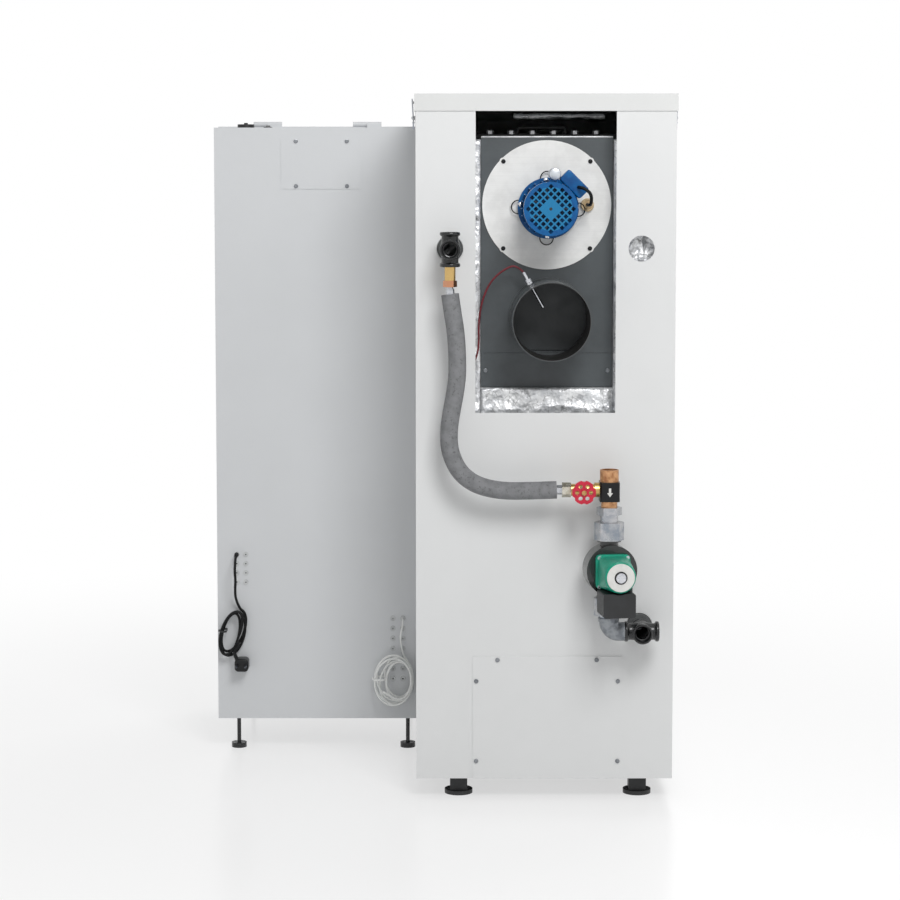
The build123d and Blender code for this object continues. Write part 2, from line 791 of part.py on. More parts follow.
def front_casing():
    """Front sheet with the door and drawer cut-outs and the door's hinge lugs."""
    y = (FRONT_Y - SHEET, FRONT_Y)
    cut = (FRONT_Y - 2 * SHEET, FRONT_Y + SHEET)
    sheet = block((-BODY_HALF, BODY_HALF), y, (BODY_BOTTOM, BODY_TOP))
    half = DOOR_HOLE_HALF + VESSEL_WALL + DOOR_GAP
    low = CHAMBER_BOTTOM - VESSEL_WALL - DOOR_GAP
    sheet -= block((-half, half), cut, (low, DOOR_HOLE_TOP + VESSEL_WALL + DOOR_GAP))
    half = CONTROL_HALF - CONTROL_LAP
    sheet -= block((-half, half), cut, (CONTROL_BOTTOM + CONTROL_LAP, CONTROL_TOP - CONTROL_LAP))
    for base in hinge_bases():
        lug = (base - HINGE_KNUCKLE, base)
        sheet += rod("Z", (HINGE_X, HINGE_Y), HINGE_KNUCKLE_R, lug)
        sheet += block((HINGE_X - HINGE_KNUCKLE_R, HINGE_X), (FRONT_Y, HINGE_Y), lug)
        sheet += rod("Z", (HINGE_X, HINGE_Y), HINGE_PIN_R, (base, base + HINGE_KNUCKLE))
    return sheet


def hinge_bases():
    """Heights at which the door's knuckles rest on the lugs."""
    return (DOOR_BOTTOM + HINGE_FROM_END, DOOR_TOP - HINGE_FROM_END)


def boiler_lid():
    """Shallow box that rests on the casing, with a ledge at each side for its latch."""
    half = BODY_HALF + LID_OVERHANG
    y = (-LID_OVERHANG, FRONT_Y + LID_OVERHANG)
    lid = block((-half, half), y, (BODY_TOP, BODY_TOP + LID_HEIGHT))
    inner = block(
        (SHEET - half, half - SHEET), (y[0] + SHEET, y[1] - SHEET), (BODY_TOP, BODY_TOP + LID_HEIGHT - SHEET)
    )
    lid -= inner
    lip = half - RETURN_FLANGE
    rim = block((-half, half), y, (BODY_TOP, BODY_TOP + SHEET))
    lid += rim - block((-lip, lip), (y[0] + RETURN_FLANGE, y[1] - RETURN_FLANGE), (BODY_TOP, BODY_TOP + SHEET))
    hook = LATCH_HOOK_WIDTH / 2
    for s in (-1, 1):
        reach = sorted((s * half, s * (half + LATCH_HOOK_PROUD)))
        z = (LATCH_HOOK_TOP - LATCH_HOOK_HEIGHT, LATCH_HOOK_TOP)
        lid += block(reach, (LATCH_Y - hook, LATCH_Y + hook), z)
    return lid


def latch_pivot(side):
    """Middle of the lever's pin, in X and Z."""
    return (side * (BODY_HALF + LATCH_PIVOT_OUT), LATCH_PIVOT_Z)


def latch_bail_pivot(side):
    """Where the bail turns in the lever, below the lever's own pin."""
    return (side * (BODY_HALF + LATCH_PIVOT_OUT), LATCH_PIVOT_Z - LATCH_BAIL_PIVOT_DROP)


def latch_lever(side):
    """Toggle lever that turns on the bracket's pin and carries the bail."""
    x, z = latch_pivot(side)
    half = LATCH_LEVER_WIDTH / 2
    y = (LATCH_Y - half, LATCH_Y + half)
    through = (LATCH_Y - LATCH_WIDTH, LATCH_Y + LATCH_WIDTH)
    lever = rod("Y", (x, z), LATCH_LEVER_R, y)
    thick = LATCH_LEVER_THICKNESS / 2
    lever += block((x - thick, x + thick), y, (z - LATCH_LEVER_DROP, z))
    hub = latch_bail_pivot(side)
    lever += rod("Y", hub, 2 * LATCH_BAIL_WIRE_R, y)
    lever -= rod("Y", (x, z), LATCH_PIN_R + FIT, through)
    return lever - rod("Y", hub, LATCH_BAIL_WIRE_R + FIT, through)


def latch_bail(side):
    """Wire bail from the lever, outside the ears, up to a bar just in front of the lid's ledge."""
    x, z = latch_bail_pivot(side)
    bar_x = side * (BODY_HALF + LID_OVERHANG + LATCH_HOOK_PROUD + LATCH_BAR_GAP + LATCH_BAIL_WIRE_R)
    half = LATCH_LEVER_WIDTH / 2 + LATCH_EAR + 2 * LATCH_BAR_GAP + LATCH_BAIL_WIRE_R
    bail = rod("Y", (x, z), LATCH_BAIL_WIRE_R, (LATCH_Y - half, LATCH_Y + half))
    bail += rod("Y", (bar_x, LATCH_BAIL_TOP), LATCH_BAIL_WIRE_R, (LATCH_Y - half, LATCH_Y + half))
    length = math.hypot(bar_x - x, LATCH_BAIL_TOP - z)
    lean = math.degrees(math.atan2(bar_x - x, LATCH_BAIL_TOP - z))
    for y in (LATCH_Y - half, LATCH_Y + half):
        middle = Pos((x + bar_x) / 2, y, (z + LATCH_BAIL_TOP) / 2)
        bail += middle * Rot(0, lean, 0) * Cylinder(LATCH_BAIL_WIRE_R, length)
        for end in ((x, y, z), (bar_x, y, LATCH_BAIL_TOP)):
            bail += Pos(*end) * Sphere(LATCH_BAIL_WIRE_R)
    return bail


def body_insulation():
    """Insulation between casing and vessel, cut out for the smoke box, pipes, doors and feed."""
    half = BODY_HALF - SHEET - INSULATION_SIDE_GAP
    wool = block(
        (-half, half), (INSULATION_REAR, FRONT_Y - 2 * SHEET), (INSULATION_BOTTOM, INSULATION_TOP)
    )
    gap = SOFT_GAP
    vessel = VESSEL_HALF + gap
    wool -= block(
        (-vessel, vessel), (VESSEL_REAR - gap, VESSEL_FRONT + gap), (VESSEL_BOTTOM - gap, VESSEL_TOP + gap)
    )
    smoke = SMOKE_HALF + gap
    wool -= block(
        (SMOKE_X - smoke, SMOKE_X + smoke), (0, VESSEL_REAR), (SMOKE_BOTTOM - gap, SMOKE_TOP + gap)
    )
    for place in ((-TAPPING_X, FLOW_Z), (TAPPING_X, RETURN_Z)):
        wool -= rod("Y", place, STUB_R + gap, (0, VESSEL_REAR))
    neck = DOOR_HOLE_HALF + VESSEL_WALL + gap
    low = CHAMBER_BOTTOM - VESSEL_WALL - gap
    wool -= block((-neck, neck), (VESSEL_FRONT, FRONT_Y), (low, DOOR_HOLE_TOP + VESSEL_WALL + gap))
    wool -= rod("X", (FEED_Y, FEED_Z), FEED_SLEEVE_R + gap, (-BODY_HALF, -VESSEL_HALF))
    control = CONTROL_HALF + gap
    back = FRONT_Y - CONTROL_BACK - gap
    wool -= block((-control, control), (back, FRONT_Y), (CONTROL_BOTTOM - gap, CONTROL_TOP + gap))
    post = POST_SIDE / 2 + gap
    for s in (-1, 1):
        middle = FEET_OFFSET + s * FEET_SPACING / 2
        for y in (VESSEL_REAR + POST_SIDE, VESSEL_FRONT - POST_SIDE):
            wool -= block((middle - post, middle + post), (y - post, y + post), (0, VESSEL_BOTTOM))
    return wool


# Heat exchanger


def gas_spaces(grow):
    """The flue-gas passages through the vessel, grown by the wall to give their jacket."""
    low = CHAMBER_BOTTOM - grow
    spaces = block(
        (-CHAMBER_HALF - grow, CHAMBER_HALF + grow),
        (CHAMBER_REAR - grow, VESSEL_FRONT - VESSEL_WALL + grow),
        (low, CHAMBER_TOP + grow),
    )
    spaces += block(
        (-CHAMBER_HALF - grow, CHAMBER_HALF + grow),
        (RISER_REAR - grow, TURNING_FRONT + grow),
        (CHAMBER_TOP - grow, TURNING_BOTTOM + grow),
    )
    spaces += block(
        (-TURNING_HALF - grow, TURNING_HALF + grow),
        (TURNING_REAR - grow, TURNING_FRONT + grow),
        (TURNING_BOTTOM - grow, VESSEL_TOP + grow),
    )
    spaces += block(
        (-TURNING_HALF - grow, TURNING_HALF + grow),
        (TURNING_REAR - grow, COLLECTOR_FRONT + grow),
        (COLLECTOR_BOTTOM - grow, COLLECTOR_TOP + grow),
    )
    spaces += block(
        (-GAS_PORT_HALF - grow, GAS_PORT_HALF + grow),
        (VESSEL_REAR - grow, TURNING_REAR + grow),
        (GAS_PORT_BOTTOM - grow, GAS_PORT_TOP + grow),
    )
    for x, y in tube_places():
        spaces += rod("Z", (x, y), TUBE_R + grow, (COLLECTOR_TOP - grow, TURNING_BOTTOM + grow))
    spaces += rod("X", (FEED_Y, FEED_Z), FEED_SLEEVE_R + grow, (-VESSEL_HALF - grow, -CHAMBER_HALF + grow))
    return spaces


def tube_places():
    """Middles of the upright flue tubes."""
    columns = [TUBE_PITCH * (c - (TUBE_COLUMNS - 1) / 2) for c in range(TUBE_COLUMNS)]
    rows = [TUBE_Y + TUBE_PITCH * (r - (TUBE_ROWS - 1) / 2) for r in range(TUBE_ROWS)]
    return [(x, y) for y in rows for x in columns]


def heat_exchanger():
    """Welded vessel: water jacket, fire chamber, flue tubes, door neck and pipe stubs."""
    outer = block((-VESSEL_HALF, VESSEL_HALF), (VESSEL_REAR, VESSEL_FRONT), (VESSEL_BOTTOM, VESSEL_TOP))
    wall = VESSEL_WALL
    water = block(
        (wall - VESSEL_HALF, VESSEL_HALF - wall),
        (VESSEL_REAR + wall, VESSEL_FRONT - wall),
        (VESSEL_BOTTOM + wall, VESSEL_TOP - wall),
    )
    water -= gas_spaces(wall)
    neck = DOOR_HOLE_HALF + wall
    outer += block(
        (-neck, neck), (VESSEL_FRONT - wall, NECK_FRONT), (CHAMBER_BOTTOM - wall, DOOR_HOLE_TOP + wall)
    )
    openings = block(
        (-DOOR_HOLE_HALF, DOOR_HOLE_HALF), (VESSEL_FRONT - 2 * wall, FRONT_Y), (DOOR_HOLE_BOTTOM, DOOR_HOLE_TOP)
    )
    openings += block(
        (-DOOR_HOLE_HALF, DOOR_HOLE_HALF), (VESSEL_FRONT - 2 * wall, FRONT_Y), (CHAMBER_BOTTOM, DRAWER_HOLE_TOP)
    )
    vessel = outer - water - gas_spaces(0) - openings
    for place in ((-TAPPING_X, FLOW_Z), (TAPPING_X, RETURN_Z)):
        end = PIPE_Y + CROSS_ARM - PORT_DEPTH
        stub = rod("Y", place, STUB_R, (end, VESSEL_REAR))
        stub += rod("Y", place, BOSS_R, (-BOSS_PROUD, BOSS_INSIDE))
        vessel += stub
        vessel -= rod("Y", place, STUB_BORE_R, (end - wall, VESSEL_REAR + 2 * wall))
    for place in hatch_studs():
        vessel += rod("Z", place, SCREW_SHANK_R, (VESSEL_TOP - wall, VESSEL_TOP + HATCH_THICKNESS))
    return vessel


def hatch_studs():
    """Studs in two rows, behind and in front of the turning chamber."""
    rows = (TURNING_REAR - HATCH_LAP / 2, TURNING_FRONT + HATCH_LAP / 2)
    columns = [HATCH_NUT_PITCH * (c - (HATCH_NUTS - 1) / 2) for c in range(HATCH_NUTS)]
    return [(x, y) for y in rows for x in columns]


def top_hatch():
    """Cover plate of the turning chamber with a bent-rod handle."""
    half = TURNING_HALF + HATCH_LAP
    z = (VESSEL_TOP, VESSEL_TOP + HATCH_THICKNESS)
    plate = block((-half, half), (TURNING_REAR - HATCH_LAP, TURNING_FRONT + HATCH_LAP), z)
    for place in hatch_studs():
        plate -= rod("Z", place, SCREW_SHANK_R + SCREW_HOLE_GAP, (z[0] - SHEET, z[1] + SHEET))
    reach = HATCH_HANDLE_WIDTH / 2
    y = TURNING_REAR + HATCH_HANDLE_SETBACK
    top = z[1] + HATCH_HANDLE_HEIGHT - HATCH_HANDLE_R
    corner = 2 * HATCH_HANDLE_R
    route = [(-reach, y, z[1]), (-reach, y, top), (reach, y, top), (reach, y, z[1])]
    path = FilletPolyline(*route, radius=corner)
    return plate + sweep(Plane(path @ 0, z_dir=path % 0) * Circle(HATCH_HANDLE_R), path)


def turbulators():
    """Blades in the flue tubes, hung from cross bars that the cleaning gear lifts."""
    low = TURNING_BOTTOM + COMB_RISE
    top = low + COMB_HEIGHT
    rows = sorted({y for x, y in tube_places()})
    reach = TUBE_PITCH * (TUBE_COLUMNS - 1) / 2 + BLADE_WIDTH / 2
    comb = None
    for y in rows:
        bar = block((-reach, reach), (y - BLADE_THICKNESS, y + BLADE_THICKNESS), (low, top))
        comb = bar if comb is None else comb + bar
    comb += block((-BLADE_THICKNESS, BLADE_THICKNESS), (rows[0], rows[-1]), (low, top))
    for x, y in tube_places():
        half = BLADE_WIDTH / 2
        z = (TURNING_BOTTOM - BLADE_DROP, low + COMB_HEIGHT / 2)
        comb += block((x - half, x + half), (y - BLADE_THICKNESS / 2, y + BLADE_THICKNESS / 2), z)
        comb += block((x - BLADE_THICKNESS / 2, x + BLADE_THICKNESS / 2), (y - half, y + half), (z[0], TURNING_BOTTOM))
    return comb


# Smoke box, flue and fan


def smoke_box():
    """Box on the vessel's rear wall with an inner baffle, so the fan draws through its eye."""
    x = (SMOKE_X - SMOKE_HALF, SMOKE_X + SMOKE_HALF)
    y = (SMOKE_REAR, VESSEL_REAR)
    wall = SMOKE_WALL
    shell = block(x, y, (SMOKE_BOTTOM, SMOKE_TOP))
    shell -= block(
        (x[0] + wall, x[1] - wall), (y[0] + wall, y[1] - wall), (SMOKE_BOTTOM + wall, SMOKE_TOP - wall)
    )
    shell -= block(
        (x[0] - wall, x[1] + wall), (y[0] - wall, y[0] + wall), (SMOKE_BOTTOM - wall, CLEANING_SEAM + CLEANING_GAP)
    )
    shell -= block(
        (-GAS_PORT_HALF, GAS_PORT_HALF), (y[1] - 2 * wall, y[1] + wall), (GAS_PORT_BOTTOM, GAS_PORT_TOP)
    )
    baffle = block(
        (x[0] + wall, x[1] - wall), (BAFFLE_DEPTH, BAFFLE_DEPTH + wall), (CLEANING_SEAM, SMOKE_TOP - wall)
    )
    baffle += block((x[0] + wall, x[1] - wall), (y[0] + wall, BAFFLE_DEPTH + wall), (CLEANING_SEAM, CLEANING_SEAM + wall))
    baffle -= block((x[0], x[1]), (y[0], y[0] + 2 * wall), (CLEANING_SEAM - wall, CLEANING_SEAM + CLEANING_GAP))
    shell += baffle
    shell -= rod("Y", (FAN_X, FAN_Z), BAFFLE_EYE_R, (BAFFLE_DEPTH - wall, BAFFLE_DEPTH + 2 * wall))
    shell -= rod("Y", (FAN_PLATE_X, FAN_PLATE_Z), FAN_HOLE_R, (y[0] - wall, y[0] + 2 * wall))
    shell -= rod("Y", (FLUE_X, FLUE_Z), FLUE_R - FLUE_WALL, (y[0] - wall, y[0] + 2 * wall))
    for px, pz in cleaning_screw_places():
        half = CLEANING_BOSS / 2
        boss_x = (px - half, px + half)
        shell += block(boss_x, (y[0] + wall, y[0] + 2 * CLEANING_BOSS), (pz - half, pz + half))
        shell += block(
            sorted((px, SMOKE_X + math.copysign(SMOKE_HALF - wall / 2, px - SMOKE_X))),
            (y[0] + wall, y[0] + 2 * CLEANING_BOSS),
            (pz - half, pz + half),
        )
    for hole in screw_holes("Y", cleaning_screw_places() + fan_screw_places(), (y[0] - wall, y[0] + SCREW_LENGTH)):
        shell -= hole
    return shell


def smoke_box_cover():
    """Flush plate over the cleaning opening at the bottom of the smoke box."""
    x = (SMOKE_X - SMOKE_HALF, SMOKE_X + SMOKE_HALF)
    plate = block(x, (SMOKE_REAR, SMOKE_REAR + SMOKE_WALL), (SMOKE_BOTTOM, CLEANING_SEAM))
    for hole in screw_holes("Y", cleaning_screw_places(), (SMOKE_REAR - SMOKE_WALL, SMOKE_REAR + 2 * SMOKE_WALL)):
        plate -= hole
    return plate


def flue_pipe():
    """Flue outlet with a rolled bead at its foot and a hole for the probe."""
    span = (-FLUE_PROUD, SMOKE_REAR)
    tube = rod("Y", (FLUE_X, FLUE_Z), FLUE_R, span)
    tube += rod("Y", (FLUE_X, FLUE_Z), FLUE_COLLAR_R, (FLUE_COLLAR_REAR, SMOKE_REAR))
    tube += rod("Y", (FLUE_X, FLUE_Z), FLUE_BEAD_R, (SMOKE_REAR - FLUE_BEAD, SMOKE_REAR))
    tube -= rod("Y", (FLUE_X, FLUE_Z), FLUE_R - FLUE_WALL, (span[0] - SHEET, span[1] + SHEET))
    return tube - probe_bar(PROBE_R + FIT, FLUE_R - 2 * FLUE_WALL, FLUE_R + FLUE_WALL)


def probe_bar(radius, start, end):
    """Bar along the probe's line, between two distances from the flue's axis."""
    x, z = polar((FLUE_X, FLUE_Z), (start + end) / 2, PROBE_ANGLE)
    return Pos(x, PROBE_DEPTH, z) * Rot(0, 90 - PROBE_ANGLE, 0) * Cylinder(radius, end - start)


def flue_probe():
    """Temperature probe through the flue's wall, with its lead along the opening's left edge."""
    probe = probe_bar(PROBE_R, PROBE_IN, PROBE_OUT)
    seat = FLUE_COLLAR_R + SOFT_GAP
    probe += probe_bar(PROBE_NUT_R, seat, seat + PROBE_NUT)
    start = polar((FLUE_X, FLUE_Z), PROBE_OUT - PROBE_R, PROBE_ANGLE)
    first = polar((FLUE_X, FLUE_Z), PROBE_OUT + PROBE_R, PROBE_ANGLE)
    route = [start, first] + LEAD_POINTS
    return probe + swept_tube([(x, PROBE_DEPTH, z) for x, z in route], LEAD_R, "probe lead")


def fan_plate():
    """Round aluminium plate with four lugs, which closes the fan's opening."""
    y = (SMOKE_REAR - FAN_PLATE_THICKNESS, SMOKE_REAR)
    plate = rod("Y", (FAN_PLATE_X, FAN_PLATE_Z), FAN_PLATE_R, y)
    for place in fan_screw_places():
        plate += rod("Y", place, FAN_LUG_R, y)
    for hole in screw_holes("Y", fan_screw_places(), (y[0] - SHEET, y[1] + SHEET)):
        plate -= hole
    return plate - rod("Y", (FAN_X, FAN_Z), SHAFT_R + DOOR_GAP, (y[0] - SHEET, y[1] + SHEET))


def motor_stator():
    """Finned motor body with its mounting flange and four spacers."""
    axis = (FAN_X, FAN_Z)
    flange = (MOTOR_REAR - MOTOR_FLANGE, MOTOR_REAR)
    body = rod("Y", axis, MOTOR_FLANGE_R, flange)
    body += rod("Y", axis, MOTOR_BODY_R, (MOTOR_FACE, flange[0]))
    for fin in range(MOTOR_FINS):
        turn = Pos(FAN_X, 0, FAN_Z) * Rot(0, fin * 360 / MOTOR_FINS, 0)
        reach = (MOTOR_BODY_R - MOTOR_FIN_THICKNESS, MOTOR_FIN_R)
        half = MOTOR_FIN_THICKNESS / 2
        body += turn * block(reach, (MOTOR_FACE + MOTOR_END_WALL, flange[0]), (-half, half))
    for angle in (0, 90, 180, 270):
        spacer = polar(axis, SPACER_CIRCLE_R, angle)
        body += rod("Y", spacer, SPACER_R, (MOTOR_REAR, MOTOR_REAR + MOTOR_GAP))
    body -= rod("Y", axis, MOTOR_BORE_R, (MOTOR_FACE + MOTOR_END_WALL, flange[1] - MOTOR_END_WALL))
    return body - rod("Y", axis, SHAFT_R + FIT, (MOTOR_FACE - SHEET, MOTOR_REAR + SHEET))


def motor_cowl():
    """Fan cowl on the motor's end with square holes set diagonally."""
    axis = (FAN_X, FAN_Z)
    seat = MOTOR_FACE + MOTOR_END_WALL
    cup = rod("Y", axis, COWL_R, (COWL_END, seat))
    cup -= rod("Y", axis, COWL_R - COWL_WALL, (COWL_END + COWL_WALL, seat + SHEET))
    reach = COWL_R - GRILLE_HOLE
    half = GRILLE_HOLE / 2
    cut = (COWL_END - SHEET, COWL_END + 2 * COWL_WALL)
    turn = Pos(FAN_X, 0, FAN_Z) * Rot(0, 45, 0)
    for column in range(-GRILLE_REACH, GRILLE_REACH + 1):
        for row in range(-GRILLE_REACH, GRILLE_REACH + 1):
            x, z = column * GRILLE_PITCH, row * GRILLE_PITCH
            near = abs(column) <= GRILLE_CENTRE and abs(row) <= GRILLE_CENTRE
            if math.hypot(x, z) < reach and not near:
                cup -= turn * block((x - half, x + half), cut, (z - half, z + half))
    return cup


def terminal_box():
    """Terminal box of the fan motor, set at 45 degrees on its fins."""
    low = MOTOR_FIN_R - MOTOR_FIN_THICKNESS
    rear = MOTOR_FACE + TERMINAL_DEEP
    turn = Pos(FAN_X, 0, FAN_Z) * Rot(0, -TERMINAL_ANGLE, 0)
    half = TERMINAL_ALONG / 2
    box = turn * block((low, low + TERMINAL_THICK), (MOTOR_FACE + MOTOR_END_WALL, rear), (-half, half))
    return box - rod("Y", (FAN_X, FAN_Z), MOTOR_FIN_R + SOFT_GAP, (MOTOR_FACE - SHEET, rear + SHEET))


def motor_electrics():
    """Terminal box, run capacitor, and the motor's lead down to a bush in the fan plate."""
    box = terminal_box()
    place = polar((FAN_X, FAN_Z), MOTOR_FIN_R + SOFT_GAP + CAPACITOR_R, CAPACITOR_ANGLE)
    capacitor = rod("Y", place, CAPACITOR_R, (MOTOR_FACE, MOTOR_FACE + CAPACITOR_LENGTH))
    capacitor -= box
    bush_x = FAN_PLATE_X + BUSH_OFFSET
    plate_y = SMOKE_REAR - FAN_PLATE_THICKNESS
    bush = rod("Y", (bush_x, FAN_PLATE_Z), BUSH_R, (plate_y - BUSH_HEIGHT, plate_y))
    front = MOTOR_FACE + SHEET
    start = polar((FAN_X, FAN_Z), MOTOR_FIN_R + TERMINAL_THICK / 2, TERMINAL_ANGLE - 8)
    route = [
        (start[0], front, start[1]),
        (start[0] + 2, front - 11, start[1]),
        (start[0] + 12, front - 19, start[1] - 3),
        (start[0] + 23, front - 17, start[1] - 12),
        (bush_x + 3, front - 6, start[1] - 25),
        (bush_x + 2, front + 12, FAN_PLATE_Z + 1),
        (bush_x, front + 34, FAN_PLATE_Z),
        (bush_x, plate_y - BUSH_HEIGHT, FAN_PLATE_Z + 1),
    ]
    return [box, capacitor, bush, swept_tube(route, MOTOR_LEAD_R, "fan motor lead")]


def fan_rotor():
    """Motor shaft with its rotor, cooling fan and the flue-gas impeller."""
    axis = (FAN_X, FAN_Z)
    impeller_end = BAFFLE_DEPTH - DOOR_GAP
    rotor = rod("Y", axis, SHAFT_R, (COWL_END + 2 * COWL_WALL, impeller_end))
    middle = (MOTOR_FACE + MOTOR_REAR) / 2
    rotor += rod("Y", axis, ROTOR_R, (middle - ROTOR_LENGTH / 2, middle + ROTOR_LENGTH / 2))
    cooling = MOTOR_FACE - MOTOR_END_WALL - COOLING_WIDTH
    rotor += rod("Y", axis, IMPELLER_HUB_R, (cooling, cooling + COOLING_WIDTH))
    rotor += blade_ring(COOLING_BLADES, COOLING_R, (cooling, cooling + COOLING_WIDTH))
    base = impeller_end - IMPELLER_WIDTH
    rotor += rod("Y", axis, IMPELLER_HUB_R, (base, impeller_end))
    rotor += rod("Y", axis, IMPELLER_R, (base, base + IMPELLER_PLATE))
    return rotor + blade_ring(IMPELLER_BLADES, IMPELLER_R, (base, impeller_end))


def blade_ring(count, radius, span):
    """Radial blades around the fan's axis."""
    half = BLADE_SHEET / 2
    blades = []
    for number in range(count):
        turn = Pos(FAN_X, 0, FAN_Z) * Rot(0, number * 360 / count, 0)
        blades.append(turn * block((IMPELLER_HUB_R - half, radius - half), span, (-half, half)))
    return blades


# Front of the boiler


def pull_bar(x, y, z, along):
    """Bar handle on two posts, proud of the face at y."""
    half = HANDLE_BAR / 2
    low, high = along
    bar = (y + HANDLE_REACH - HANDLE_BAR, y + HANDLE_REACH)
    if z is None:
        handle = block((x - half, x + half), bar, (low, high))
        for end in (low + HANDLE_BAR, high - HANDLE_BAR):
            handle += block((x - half, x + half), (y, bar[1]), (end - half, end + half))
        return handle
    handle = block((low, high), bar, (z - half, z + half))
    for end in (low + HANDLE_BAR, high - HANDLE_BAR):
        handle += block((end - half, end + half), (y, bar[1]), (z - half, z + half))
    return handle


def combustion_door():
    """Hinged door with an insulated plug that reaches into the vessel's neck."""
    door = block((-DOOR_HALF, DOOR_HALF), (DOOR_BACK, DOOR_FACE), (DOOR_BOTTOM, DOOR_TOP))
    plug = DOOR_HOLE_HALF - 3 * DOOR_PLUG_GAP
    door += block(
        (-plug, plug),
        (DOOR_BACK - DOOR_PLUG_DEPTH, DOOR_BACK),
        (DOOR_HOLE_BOTTOM + DOOR_PLUG_GAP, DOOR_HOLE_TOP - DOOR_PLUG_GAP),
    )
    for base in hinge_bases():
        z = (base + SOFT_GAP, base + HINGE_KNUCKLE)
        door += rod("Z", (HINGE_X, HINGE_Y), HINGE_KNUCKLE_R, z)
        door += block((HINGE_X, -DOOR_HALF + HINGE_SIDE), (DOOR_BACK, DOOR_FACE), z)
        door -= rod("Z", (HINGE_X, HINGE_Y), HINGE_PIN_R + FIT, (z[0] - HINGE_KNUCKLE, z[1] + HINGE_KNUCKLE))
    middle = (DOOR_BOTTOM + DOOR_TOP) / 2
    span = (middle - HANDLE_LENGTH / 2, middle + HANDLE_LENGTH / 2)
    return door + pull_bar(DOOR_HALF - 2 * HANDLE_BAR, DOOR_FACE, None, span)


def ash_drawer():
    """Open tray behind a front plate with a pull bar."""
    plate = block((-DOOR_HALF, DOOR_HALF), (DOOR_BACK, DOOR_FACE), (DRAWER_BOTTOM, DRAWER_TOP))
    half = DOOR_HOLE_HALF - DRAWER_SIDE_GAP
    low = CHAMBER_BOTTOM + DRAWER_FLOOR_GAP
    y = (DOOR_BACK - DRAWER_DEPTH, DOOR_BACK)
    tray = block((-half, half), y, (low, low + DRAWER_BOX_HEIGHT))
    tray -= block(
        (DRAWER_WALL - half, half - DRAWER_WALL),
        (y[0] + DRAWER_WALL, y[1]),
        (low + DRAWER_WALL, low + 2 * DRAWER_BOX_HEIGHT),
    )
    z = (DRAWER_BOTTOM + DRAWER_TOP) / 2
    return plate + tray + pull_bar(None, DOOR_FACE, z, (-HANDLE_LENGTH / 2, HANDLE_LENGTH / 2))


def control_unit():
    """Control housing in the front casing with a recessed touch screen."""
    z = (CONTROL_BOTTOM, CONTROL_TOP)
    unit = block((-CONTROL_HALF, CONTROL_HALF), (FRONT_Y, FRONT_Y + CONTROL_PROUD), z)
    inner = CONTROL_HALF - CONTROL_LAP - DOOR_GAP
    unit += block(
        (-inner, inner),
        (FRONT_Y - CONTROL_BACK, FRONT_Y),
        (z[0] + CONTROL_LAP + DOOR_GAP, z[1] - CONTROL_LAP - DOOR_GAP),
    )
    face = FRONT_Y + CONTROL_PROUD
    return unit - block(
        (-SCREEN_HALF, SCREEN_HALF), (face - SCREEN_DEPTH, face + SHEET), (z[0] + SCREEN_INSET, z[1] - SCREEN_INSET)
    )


def burner():
    """Burner tube on a flange at the chamber's left wall, fed through the flange."""
    wall = -CHAMBER_HALF
    tube = rod("X", (FEED_Y, FEED_Z), BURNER_R, (wall, wall + BURNER_LENGTH))
    tube += rod("X", (FEED_Y, FEED_Z), BURNER_FLANGE_R, (wall, wall + BURNER_FLANGE))
    bore = BURNER_R - BURNER_WALL
    tube -= rod("X", (FEED_Y, FEED_Z), bore, (wall + BURNER_FLANGE, wall + BURNER_LENGTH + BURNER_WALL))
    tube -= rod("X", (FEED_Y, FEED_Z), FEED_BORE_R, (wall - BURNER_WALL, wall + 2 * BURNER_FLANGE))
    top = FEED_Z + BURNER_R / 2
    half = BURNER_R
    middle = wall + BURNER_LENGTH / 2
    return tube - block((middle, wall + 2 * BURNER_LENGTH), (FEED_Y - half, FEED_Y + half), (top, FEED_Z + 2 * half))


# Pipework on the rear


def cross_fitting(centre, axes):
    """Black malleable cross with a bead round each mouth and a bore along both axes."""
    solid = None
    bores = []
    for axis in axes:
        index = "XYZ".index(axis)
        across = tuple(c for i, c in enumerate(centre) if i != index)
        middle = centre[index]
        span = (middle - CROSS_ARM, middle + CROSS_ARM)
        arm = rod(axis, across, CROSS_ARM_R, span)
        for bead in ((span[0], span[0] + CROSS_BEAD), (span[1] - CROSS_BEAD, span[1])):
            arm += rod(axis, across, CROSS_BEAD_R, bead)
        solid = arm if solid is None else solid + arm
        bores.append(rod(axis, across, CROSS_BORE_R, span))
        bores.append(rod(axis, across, PORT_R, (span[0] - SHEET, span[0] + PORT_DEPTH)))
        bores.append(rod(axis, across, PORT_R, (span[1] - PORT_DEPTH, span[1] + SHEET)))
        if axis == "Y":
            socket = (span[1] - PORT_DEPTH, span[1] + SHEET)
            bores.append(rod(axis, across, STUB_R + FIT, socket))
    for bore in bores:
        solid -= bore
    return solid


def flow_cross():
    return cross_fitting((-TAPPING_X, PIPE_Y, FLOW_Z), "YZ")


def return_cross():
    return cross_fitting((TAPPING_X, PIPE_Y, RETURN_Z), "XY")


def hose_route():
    """Route of the bypass hose in the plane of the pipes."""
    route = [(-TAPPING_X, HOSE_TOP)] + HOSE_POINTS + [(HOSE_END_X, VALVE_Z)]
    return [(x, PIPE_Y, z) for x, z in route]


